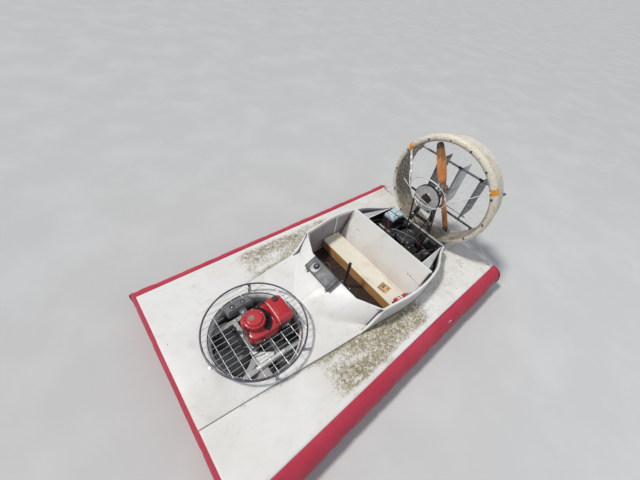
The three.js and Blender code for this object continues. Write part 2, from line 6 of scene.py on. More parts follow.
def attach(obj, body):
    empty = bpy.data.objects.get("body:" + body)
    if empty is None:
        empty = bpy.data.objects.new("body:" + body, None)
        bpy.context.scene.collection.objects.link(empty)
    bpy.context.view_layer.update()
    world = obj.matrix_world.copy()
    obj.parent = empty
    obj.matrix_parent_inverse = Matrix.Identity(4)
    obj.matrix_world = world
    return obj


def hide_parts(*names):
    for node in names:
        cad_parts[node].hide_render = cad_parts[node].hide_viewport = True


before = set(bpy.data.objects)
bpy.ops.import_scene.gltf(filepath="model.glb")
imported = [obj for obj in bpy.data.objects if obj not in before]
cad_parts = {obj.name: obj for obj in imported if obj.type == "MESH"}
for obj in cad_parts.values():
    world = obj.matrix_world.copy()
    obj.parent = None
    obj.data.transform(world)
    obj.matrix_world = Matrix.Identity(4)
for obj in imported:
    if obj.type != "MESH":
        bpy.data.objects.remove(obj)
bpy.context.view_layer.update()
random.seed(11)

# ---------------------------------------------------------------- camera
cam_data = bpy.data.cameras.new("camera"); cam = bpy.data.objects.new("camera", cam_data)
bpy.context.scene.collection.objects.link(cam); bpy.context.scene.camera = cam
cam_data.sensor_width, cam_data.lens, cam_data.clip_start, cam_data.clip_end = 36, 36 * 300 / 640, .01, 3000
CAM_AXES = [[0.62504, -0.61712, 0.47801], [0.77165, 0.39607, -0.49767], [0.1178, 0.67992, 0.72376]]      # columns: right, up, back
bpy.context.scene.view_settings.view_transform = "Standard"
cam.matrix_world = Matrix.Translation((1.1209, -1.6559, 2.8985)) @ Matrix(CAM_AXES).to_4x4()

# ---------------------------------------------------------------- places, in metres
# x to port, s from the bow edge towards the stern, z above the ground
MID = 1.8
DK, CD, FLOOR = 0.330, 0.348, 0.142        # side deck, centre deck, cockpit floor
FAN_S, GUARD_Z = 0.705, 0.460
DUCT_S, DUCT_Z, DUCT_DEPTH = 3.050, 0.972, 0.260
THROAT_R, LIP_R, PROP_S = 0.556, 0.636, 3.172
PULLEY_S, RUDDER_S, SEAT_Z = 2.868, 3.365, 0.262
def P(x, s, z): return Vector((x, s - MID, z))
def lerp(a, b, t): return a + (b - a) * t
def smooth(t): t = max(0.0, min(1.0, t)); return t * t * (3 - 2 * t)

# ---------------------------------------------------------------- materials
class Finish:
    """Small builder for a node material in object space."""
    def __init__(self, name, rough=0.5, metal=0.0, coat=0.0, sheen=0.0, spec=0.5):
        self.m = bpy.data.materials.new(name); self.m.use_nodes = True
        self.t = self.m.node_tree; self.b = self.t.nodes["Principled BSDF"]
        self.b.inputs["Roughness"].default_value = rough
        self.b.inputs["Metallic"].default_value = metal
        self.b.inputs["Coat Weight"].default_value = coat
        self.b.inputs["Coat Roughness"].default_value = 0.12
        self.b.inputs["Sheen Weight"].default_value = sheen
        self.b.inputs["Specular IOR Level"].default_value = spec
        self.tc = self.t.nodes.new("ShaderNodeTexCoord")
        self.col = None; self.h = None; self.rough0 = rough
    def node(self, kind, **values):
        n = self.t.nodes.new(kind)
        for k, v in values.items():
            setattr(n, k, v)
        return n
    def link(self, a, b): self.t.links.new(a, b)
    def put(self, socket, value):
        if hasattr(value, "node"): self.link(value, socket)
        elif isinstance(value, tuple) and len(value) == 3 and socket.type == "RGBA": socket.default_value = (*value, 1)
        else: socket.default_value = value
    def coords(self, stretch=(1, 1, 1), turn=(0, 0, 0)):
        m = self.node("ShaderNodeMapping"); m.inputs["Scale"].default_value = stretch; m.inputs["Rotation"].default_value = turn
        self.link(self.tc.outputs["Object"], m.inputs["Vector"]); return m.outputs["Vector"]
    def noise(self, scale, detail=4, rough=0.55, stretch=(1, 1, 1), distort=0.0, turn=(0, 0, 0)):
        n = self.node("ShaderNodeTexNoise"); n.inputs["Scale"].default_value = scale; n.inputs["Detail"].default_value = detail
        n.inputs["Roughness"].default_value = rough; n.inputs["Distortion"].default_value = distort
        self.link(self.coords(stretch, turn), n.inputs["Vector"]); return n.outputs["Fac"]
    def cells(self, scale, stretch=(1, 1, 1), feature="F1"):
        n = self.node("ShaderNodeTexVoronoi", feature=feature); n.inputs["Scale"].default_value = scale
        self.link(self.coords(stretch), n.inputs["Vector"]); return n.outputs["Distance"]
    def band(self, value, lo, hi, a=0.0, b=1.0):
        n = self.node("ShaderNodeMapRange"); n.interpolation_type = "SMOOTHSTEP"
        self.put(n.inputs["Value"], value)
        for k, v in (("From Min", lo), ("From Max", hi), ("To Min", a), ("To Max", b)): n.inputs[k].default_value = v
        return n.outputs["Result"]
    def math(self, op, a, b=0.0, clamp=False):
        n = self.node("ShaderNodeMath", operation=op, use_clamp=clamp)
        self.put(n.inputs[0], a); self.put(n.inputs[1], b); return n.outputs[0]
    def axis(self, which, stretch=(1, 1, 1)):
        n = self.node("ShaderNodeSeparateXYZ"); self.link(self.coords(stretch), n.inputs[0]); return n.outputs[which]
    def far(self, point, squash=(1, 1, 1)):
        """Distance from a point, in metres."""
        n = self.node("ShaderNodeVectorMath", operation="SUBTRACT"); self.link(self.tc.outputs["Object"], n.inputs[0]); n.inputs[1].default_value = point
        m = self.node("ShaderNodeVectorMath", operation="MULTIPLY"); self.link(n.outputs[0], m.inputs[0]); m.inputs[1].default_value = squash
        q = self.node("ShaderNodeVectorMath", operation="LENGTH"); self.link(m.outputs[0], q.inputs[0]); return q.outputs["Value"]
    def attribute(self, name):
        n = self.node("ShaderNodeAttribute", attribute_name=name); return n.outputs["Fac"]
    def base(self, colour): self.col = colour; return self
    def over(self, colour, amount, mode="MIX"):
        n = self.node("ShaderNodeMix", data_type="RGBA", blend_type=mode)
        self.put(n.inputs[0], amount); self.put(n.inputs[6], self.col); self.put(n.inputs[7], colour)
        self.col = n.outputs[2]; return self
    def height(self, value, weight=1.0):
        v = self.math("MULTIPLY", value, weight)
        self.h = v if self.h is None else self.math("ADD", self.h, v); return self
    def roughness(self, value, lo, hi):
        self.link(self.band(value, 0.25, 0.75, lo, hi), self.b.inputs["Roughness"]); return self
    def done(self, strength=0.35, distance=0.002):
        self.put(self.b.inputs["Base Color"], self.col)
        if self.h is not None:
            n = self.node("ShaderNodeBump"); n.inputs["Strength"].default_value = strength; n.inputs["Distance"].default_value = distance
            self.link(self.h, n.inputs["Height"]); self.link(n.outputs["Normal"], self.b.inputs["Normal"])
        return self.m

def gelcoat(name, dirt=False, base=(0.80, 0.79, 0.765), warm=0.42, mask=None):
    f = Finish(name, rough=0.52, coat=0.04, spec=0.40)
    big = f.noise(1.6, 5, 0.6); mid = f.noise(7, 6, 0.62, distort=0.5); fine = f.noise(60, 5, 0.6)
    f.base(base).over((0.62, 0.575, 0.48), f.math("MULTIPLY", f.band(big, 0.42, 0.74), warm))
    f.over((0.54, 0.49, 0.39), f.math("MULTIPLY", f.band(mid, 0.54, 0.76), 0.40))
    # scuffs drawn along the craft, then small dark specks and a few rust-brown ones
    scuff = f.noise(14, 5, 0.7, stretch=(3.2, 0.35, 1))
    f.over((0.44, 0.425, 0.41), f.math("MULTIPLY", f.band(scuff, 0.58, 0.76), 0.38))
    f.over((0.28, 0.25, 0.20), f.math("MULTIPLY", f.band(f.noise(120, 3, 0.6), 0.68, 0.76), 0.35))
    f.over((0.42, 0.27, 0.12), f.math("MULTIPLY", f.band(f.noise(34, 4, 0.7), 0.735, 0.80), 0.55))
    if dirt:
        d = f.attribute("dirt")
        spots = f.band(f.noise(55, 6, 0.75), 0.34, 0.66)
        patch = f.band(f.noise(21, 5, 0.72, distort=0.6), 0.40, 0.60, 0.22, 1.0)
        amount = f.math("MULTIPLY", f.math("MULTIPLY", f.math("MULTIPLY", d, 1.35), patch), f.math("ADD", f.math("MULTIPLY", spots, 0.85), 0.22), clamp=True)
        f.over((0.47, 0.41, 0.30), amount)
        green = f.band(f.noise(13, 4, 0.6), 0.48, 0.64)
        f.over((0.25, 0.225, 0.13), f.math("MULTIPLY", f.math("MULTIPLY", amount, green), 0.75))
        crumbs = f.band(f.noise(150, 4, 0.7), 0.54, 0.62)
        f.over((0.085, 0.065, 0.04), f.math("MULTIPLY", f.math("MULTIPLY", amount, crumbs), 0.85))
        f.height(f.math("MULTIPLY", spots, d), 1.2)
        seam = f.attribute("seam")
        f.over((0.13, 0.125, 0.065), f.math("MULTIPLY", seam, f.band(f.noise(40, 5, 0.7), 0.30, 0.62, 0.35, 1.0)))
    f.height(mid, 0.35).height(fine, 0.12).height(f.noise(3.0, 2), 1.2)
    f.roughness(mid, 0.42, 0.66)
    return f.done(0.22, 0.003)

def simple(name, base, rough=0.5, metal=0.0, tone=None, grime=(0.10, 0.085, 0.06), grimy=0.35, scale=9, coat=0.0, bump=0.15, spec=0.5, wear=None, fine=90):
    """Paint, plastic or metal with drifting tone, grime in patches, worn spots and a fine surface."""
    f = Finish(name, rough=rough, metal=metal, coat=coat, spec=spec)
    big = f.noise(scale * 0.35, 4); mid = f.noise(scale, 6, 0.62, distort=0.4)
    tone = tone or tuple(min(1, c * 1.35 + 0.02) for c in base)
    f.base(base).over(tone, f.band(big, 0.35, 0.70, 0, 0.6))
    if wear: f.over(wear, f.math("MULTIPLY", f.band(f.noise(scale * 3.3, 6, 0.72), 0.60, 0.68), 0.8))
    f.over(grime, f.math("MULTIPLY", f.band(mid, 0.48, 0.76), grimy))
    f.height(mid, 0.5).height(f.noise(fine, 3), 0.35)
    f.roughness(mid, max(0.05, rough - 0.12), min(1, rough + 0.18))
    return f.done(bump, 0.0015)

def wood(name, base, dark, light, along=(1, 0.12, 1), rough=0.6, coat=0.0, scale=26, dirty=0.35, extra=None):
    f = Finish(name, rough=rough, coat=coat)
    warp = f.noise(scale, 6, 0.6, stretch=along, distort=1.2); fine = f.noise(scale * 7, 3, 0.6, stretch=along)
    big = f.noise(2.2, 3)
    f.base(base).over(dark, f.band(warp, 0.46, 0.66, 0, 0.75)).over(light, f.band(big, 0.5, 0.75, 0, 0.45))
    f.over(dark, f.band(fine, 0.55, 0.75, 0, 0.5))
    f.over((0.10, 0.08, 0.05), f.math("MULTIPLY", f.band(f.noise(6, 6, 0.7), 0.52, 0.8), dirty))
    if extra: extra(f)
    f.height(warp, 0.7).height(fine, 0.5); f.roughness(warp, rough - 0.1, rough + 0.15)
    return f.done(0.25, 0.001)

def skirt_fabric():
    f = Finish("skirt_fabric", rough=0.50, spec=0.30)
    big = f.noise(2.3, 4); mid = f.noise(9, 5, 0.6)
    f.base((0.48, 0.034, 0.066)).over((0.56, 0.060, 0.098), f.band(big, 0.38, 0.68, 0, 0.55))
    f.over((0.34, 0.026, 0.050), f.band(mid, 0.52, 0.78, 0, 0.5))
    # road dust creeping up from the bottom edge, splashes and a small scuff on the port side
    low = f.band(f.math("ADD", f.axis(2), f.math("MULTIPLY", mid, 0.10)), 0.05, 0.17, 1, 0)
    f.over((0.22, 0.13, 0.09), f.math("MULTIPLY", low, 0.55))
    f.over((0.26, 0.12, 0.08), f.math("MULTIPLY", f.band(f.noise(46, 4, 0.7), 0.68, 0.76), 0.35))
    f.over((0.80, 0.78, 0.75), f.band(f.math("ADD", f.far((1.005, 0.565, 0.285), (1, 0.35, 1)), f.math("MULTIPLY", f.noise(60, 2), 0.02)), 0.017, 0.024, 0.9, 0))
    weave = f.node("ShaderNodeTexWave", bands_direction="Y"); weave.inputs["Scale"].default_value = 260
    weave2 = f.node("ShaderNodeTexWave", bands_direction="Z"); weave2.inputs["Scale"].default_value = 260
    for w in (weave, weave2): f.link(f.tc.outputs["Object"], w.inputs["Vector"])
    f.height(weave.outputs["Fac"], 0.08).height(weave2.outputs["Fac"], 0.08).height(mid, 0.9).height(f.noise(26, 4), 0.5)
    # the cloth puckers below the fixing strip and wrinkles a little all over
    pucker = f.math("MULTIPLY", f.noise(30, 3, 0.5, stretch=(1, 1, 0.10)), f.band(f.axis(2), 0.20, 0.315, 0, 1))
    f.height(pucker, 2.0).height(f.noise(5, 3, 0.5, stretch=(1, 1, 0.45), distort=0.8), 1.4)
    f.roughness(mid, 0.42, 0.60)
    return f.done(0.35, 0.004)

def duct_finish(name, inside):
    f = Finish(name, rough=0.6, coat=0.05)
    big = f.noise(3.2, 5, 0.6); mid = f.noise(16, 7, 0.72, distort=0.8); fine = f.noise(70, 5, 0.7)
    if inside:
        f.base((0.50, 0.45, 0.36)).over((0.36, 0.31, 0.23), f.band(big, 0.36, 0.62, 0, 0.75))
        f.over((0.20, 0.165, 0.115), f.math("MULTIPLY", f.band(mid, 0.42, 0.62), 0.85))
        f.over((0.07, 0.06, 0.045), f.math("MULTIPLY", f.band(fine, 0.54, 0.66), 0.75))
        f.over((0.74, 0.71, 0.63), f.math("MULTIPLY", f.band(f.noise(27, 5, 0.7), 0.58, 0.70), 0.65))
        # painted shade: the starboard half of the inside is darkened in mottled patches
        f.over((0.17, 0.14, 0.10), f.math("MULTIPLY", f.band(f.axis(0), -0.62, -0.15, 0.75, 0), f.band(mid, 0.30, 0.62)))
    else:
        f.base((0.74, 0.68, 0.55)).over((0.80, 0.76, 0.67), f.band(big, 0.40, 0.66, 0, 0.75))
        f.over((0.38, 0.31, 0.20), f.math("MULTIPLY", f.band(mid, 0.50, 0.70), 0.70))
        ring = f.far((0, 1.250, DUCT_Z), (1, 0, 1))
        f.over((0.27, 0.21, 0.13), f.math("MULTIPLY", f.band(f.math("ADD", ring, f.math("MULTIPLY", mid, 0.03)), 0.578, 0.604, 0.9, 0), f.band(fine, 0.34, 0.58, 0.35, 1.0)))
        f.over((0.15, 0.125, 0.09), f.math("MULTIPLY", f.band(fine, 0.56, 0.66), 0.72))
        f.over((0.24, 0.19, 0.13), f.math("MULTIPLY", f.band(f.noise(24, 6, 0.75), 0.58, 0.68), 0.65))
        f.over((0.36, 0.30, 0.20), f.math("MULTIPLY", f.band(f.axis(2), 0.36, 0.62, 1, 0), f.band(mid, 0.36, 0.60, 0, 0.8)))
        f.over((0.22, 0.19, 0.13), f.math("MULTIPLY", f.band(f.axis(0), -0.68, -0.30, 0.55, 0), f.band(fine, 0.40, 0.62)))
    f.height(mid, 0.6).height(fine, 0.4); f.roughness(mid, 0.42, 0.75)
    return f.done(0.3, 0.002)

def pulley_finish():
    f = Finish("turned_aluminium", rough=0.36, metal=0.55)
    r = f.far((0, 1.068, DUCT_Z), (1, 0, 1))
    rings = f.math("SINE", f.math("MULTIPLY", r, 2600))
    f.base((0.72, 0.72, 0.73)).over((0.56, 0.56, 0.58), f.band(f.noise(8, 4), 0.4, 0.7, 0, 0.6))
    f.over((0.34, 0.31, 0.27), f.band(f.noise(30, 6, 0.7), 0.60, 0.74, 0, 0.45))
    f.over((0.085, 0.048, 0.030), f.band(r, 0.046, 0.064, 0.92, 0))
    f.height(rings, 0.5).height(f.noise(40, 3), 0.3); f.roughness(f.noise(12, 5), 0.26, 0.46)
    return f.done(0.12, 0.0006)

# painted shade: the well is nearly black deep down and pale grey only near its mouth; the brown patches are dirt
def well_shaded_finish():
    f = Finish("well_inside_painted_shade", rough=0.65); mid = f.noise(9, 6, 0.65, distort=0.5)
    f.base((0.040, 0.038, 0.037)).over((0.085, 0.075, 0.065), f.band(mid, 0.45, 0.70, 0, 0.8))
    f.over((0.56, 0.54, 0.55), f.math("MULTIPLY", f.band(f.math("ADD", f.axis(2), f.math("MULTIPLY", mid, 0.05)), 0.205, 0.335), 0.95))
    f.over((0.16, 0.12, 0.085), f.math("MULTIPLY", f.band(f.noise(26, 5, 0.7), 0.56, 0.72), 0.45))
    f.height(mid, 0.5).height(f.noise(60, 4), 0.3); f.roughness(mid, 0.5, 0.8)
    return f.done(0.2, 0.002)

def prop_extra(f):
    r = f.far((0, PROP_S - MID, DUCT_Z), (1, 0.3, 1))
    f.over((0.062, 0.026, 0.014), f.band(f.math("ADD", r, f.math("MULTIPLY", f.noise(22, 4), 0.06)), 0.475, 0.51, 0, 0.95))
    f.over((0.12, 0.07, 0.04), f.band(r, 0.06, 0.13, 0.85, 0))
    f.over((0.82, 0.66, 0.42), f.band(f.noise(60, 4, 0.75), 0.68, 0.76, 0, 0.7))

def net_finish():
    return simple("net_cord", (0.42, 0.42, 0.40), 0.7, 0, grimy=0.3, scale=30)

M = {}
M["deck"] = gelcoat("gelcoat_white")
M["deck_littered"] = gelcoat("gelcoat_littered", dirt=True)
M["hull"] = simple("gelcoat_hull", (0.62, 0.59, 0.52), 0.5, grime=(0.20, 0.16, 0.10), grimy=0.6, scale=5, coat=0.05)
# painted shade: the coaming's inner faces get a dark grey-mauve, the shade on them painted into their colour
M["inner"] = simple("cockpit_wall_shaded_grey", (0.38, 0.335, 0.348), 0.6, tone=(0.50, 0.46, 0.465), grime=(0.15, 0.12, 0.11), grimy=0.45, scale=4, bump=0.2)
# dark brown floor, darkened further as painted shade; its grain and dirt are its own
M["floor"] = wood("floor_brown_painted_shade", (0.034, 0.016, 0.010), (0.018, 0.010, 0.007), (0.058, 0.030, 0.019), along=(1, 0.10, 1), rough=0.72, scale=18, dirty=0.5)
M["ply"] = wood("plywood_face", (0.56, 0.27, 0.085), (0.36, 0.15, 0.04), (0.68, 0.38, 0.15), along=(0.10, 1, 1), rough=0.5, coat=0.12, scale=30, dirty=0.22)
M["ply_edge"] = wood("plywood_edge", (0.66, 0.48, 0.27), (0.38, 0.24, 0.12), (0.78, 0.62, 0.40), along=(0.1, 0.1, 6), rough=0.7, scale=60, dirty=0.25)
M["seat"] = simple("seat_cream_paint", (0.76, 0.70, 0.57), 0.55, tone=(0.82, 0.78, 0.67), grime=(0.42, 0.36, 0.20), grimy=0.45, scale=6, wear=(0.62, 0.50, 0.30), bump=0.2)
M["timber"] = wood("runner_timber", (0.24, 0.17, 0.10), (0.11, 0.075, 0.045), (0.36, 0.27, 0.17), along=(1, 0.06, 1), rough=0.85, scale=34, dirty=0.6)
M["black"] = simple("black_paint", (0.028, 0.028, 0.031), 0.45, 0.1, tone=(0.075, 0.075, 0.08), grime=(0.16, 0.13, 0.09), grimy=0.45, scale=12, wear=(0.20, 0.12, 0.07), bump=0.2)
M["cast"] = simple("engine_casting", (0.12, 0.12, 0.125), 0.5, 0.6, tone=(0.24, 0.24, 0.25), grime=(0.03, 0.025, 0.02), grimy=0.75, scale=22, bump=0.35, fine=160)
M["soot"] = simple("engine_black", (0.022, 0.022, 0.024), 0.5, 0.2, tone=(0.06, 0.058, 0.055), grime=(0.12, 0.10, 0.07), grimy=0.5, scale=20, bump=0.3)
M["steel"] = simple("zinc_steel", (0.50, 0.51, 0.53), 0.36, 0.9, tone=(0.66, 0.67, 0.69), grime=(0.20, 0.15, 0.10), grimy=0.5, scale=24, bump=0.15)
M["bolt"] = simple("black_bolt", (0.03, 0.03, 0.032), 0.38, 0.6, tone=(0.10, 0.10, 0.10), grimy=0.2, scale=40)
M["guard"] = simple("guard_rod", (0.115, 0.11, 0.135), 0.38, 0.75, tone=(0.24, 0.23, 0.28), grime=(0.20, 0.12, 0.07), grimy=0.4, scale=30, bump=0.15)
M["wire"] = simple("guard_wire", (0.52, 0.53, 0.54), 0.42, 0.7, tone=(0.68, 0.69, 0.70), grime=(0.26, 0.19, 0.12), grimy=0.4, scale=40)
M["alu"] = simple("sheet_aluminium", (0.47, 0.49, 0.51), 0.38, 0.85, tone=(0.60, 0.62, 0.64), grime=(0.16, 0.14, 0.11), grimy=0.4, scale=10, bump=0.12)
M["palegrey"] = simple("pale_grey_paint", (0.46, 0.47, 0.48), 0.55, 0.1, tone=(0.58, 0.59, 0.60), grime=(0.18, 0.14, 0.09), grimy=0.5, scale=11, wear=(0.30, 0.16, 0.08), bump=0.2)
M["red"] = simple("red_enamel", (0.50, 0.020, 0.030), 0.32, tone=(0.60, 0.055, 0.065), grime=(0.20, 0.035, 0.03), grimy=0.45, scale=14, coat=0.30, bump=0.08)
M["grey"] = simple("dark_grey_moulding", (0.13, 0.135, 0.14), 0.5, tone=(0.20, 0.205, 0.21), grime=(0.24, 0.20, 0.15), grimy=0.35, scale=14, bump=0.2, fine=240)
M["console"] = simple("console_grey", (0.158, 0.161, 0.165), 0.50, tone=(0.21, 0.212, 0.215), grime=(0.12, 0.10, 0.08), grimy=0.35, scale=16, bump=0.15, fine=220)
M["console_dark"] = simple("console_end", (0.055, 0.058, 0.062), 0.45, tone=(0.095, 0.10, 0.105), grime=(0.05, 0.045, 0.04), grimy=0.4, scale=16, bump=0.2, fine=220)
M["plastic"] = simple("black_plastic", (0.018, 0.018, 0.02), 0.42, tone=(0.05, 0.05, 0.052), grime=(0.14, 0.12, 0.09), grimy=0.3, scale=22, bump=0.15)
M["rubber"] = simple("black_rubber", (0.016, 0.016, 0.017), 0.72, tone=(0.04, 0.04, 0.04), grime=(0.12, 0.10, 0.07), grimy=0.4, scale=30, bump=0.3)
M["paleblue"] = simple("battery_lid", (0.50, 0.67, 0.72), 0.38, tone=(0.62, 0.76, 0.80), grime=(0.28, 0.30, 0.28), grimy=0.35, scale=14)
M["fan"] = simple("fan_plastic", (0.028, 0.028, 0.029), 0.6, tone=(0.050, 0.048, 0.046), grime=(0.05, 0.04, 0.03), grimy=0.6, scale=12, bump=0.2)
M["orange_tape"] = simple("orange_tape", (0.80, 0.30, 0.02), 0.45, tone=(0.88, 0.42, 0.06), grime=(0.35, 0.18, 0.06), grimy=0.4, scale=36, bump=0.25)
M["white"] = simple("white_plastic", (0.76, 0.75, 0.72), 0.4, grime=(0.40, 0.36, 0.28), grimy=0.4, scale=18)
M["greengrey"] = simple("badge_green_grey", (0.20, 0.23, 0.19), 0.45, tone=(0.28, 0.31, 0.26), grimy=0.3, scale=40)
M["brown"] = simple("brown_hose", (0.15, 0.085, 0.045), 0.55, tone=(0.24, 0.14, 0.08), grimy=0.4, scale=30, bump=0.25)
M["redwire"] = simple("red_wire", (0.52, 0.03, 0.025), 0.45, scale=40)
M["yellow"] = simple("yellow_wire", (0.72, 0.44, 0.05), 0.45, scale=40)
M["rod"] = simple("painted_rod", (0.60, 0.59, 0.55), 0.5, 0.2, tone=(0.72, 0.71, 0.67), grime=(0.26, 0.20, 0.13), grimy=0.6, scale=34, wear=(0.36, 0.33, 0.30))
M["prop"] = wood("propeller_laminate", (0.80, 0.285, 0.050), (0.54, 0.155, 0.028), (0.90, 0.42, 0.12), along=(1, 1, 0.08), rough=0.32, coat=0.45, scale=40, dirty=0.3, extra=prop_extra)
M["skirt"] = skirt_fabric()
M["duct_in"] = duct_finish("duct_inside", True)
M["duct_out"] = duct_finish("duct_outside", False)
M["pulley"] = pulley_finish()
M["net"] = net_finish(); M["cord"] = simple("pale_cord", (0.66, 0.65, 0.60), 0.7, scale=40, grimy=0.25)
M["well"] = well_shaded_finish()
# painted shade: the bay's aft wall is near black, the shade inside the bay painted into its colour
M["bay_wall_shade"] = simple("bay_wall_painted_shade", (0.060, 0.056, 0.058), 0.65, tone=(0.12, 0.11, 0.115), grime=(0.02, 0.017, 0.014), grimy=0.6, scale=7, bump=0.2)
# painted shade: bluish grey for the shaded inner face of the rim fin beside the cowl
M["slate"] = simple("rim_inner_painted_shade", (0.105, 0.110, 0.175), 0.6, tone=(0.16, 0.165, 0.24), grime=(0.10, 0.09, 0.10), grimy=0.3, scale=12, bump=0.15)
M["hub"] = simple("hub_brown", (0.060, 0.032, 0.022), 0.5, 0.3, tone=(0.11, 0.06, 0.04), grime=(0.02, 0.015, 0.012), grimy=0.5, scale=30, bump=0.2)
M["copper"] = simple("drain_ring", (0.07, 0.045, 0.035), 0.5, 0.3, scale=30)
M["straw"] = simple("clipping_straw", (0.46, 0.38, 0.23), 0.9, tone=(0.60, 0.52, 0.36), scale=60, grimy=0.2)
M["green"] = simple("clipping_green", (0.15, 0.18, 0.055), 0.9, tone=(0.24, 0.26, 0.09), scale=60, grimy=0.2)
M["umber"] = simple("clipping_brown", (0.15, 0.10, 0.055), 0.9, tone=(0.24, 0.17, 0.10), scale=60, grimy=0.2)

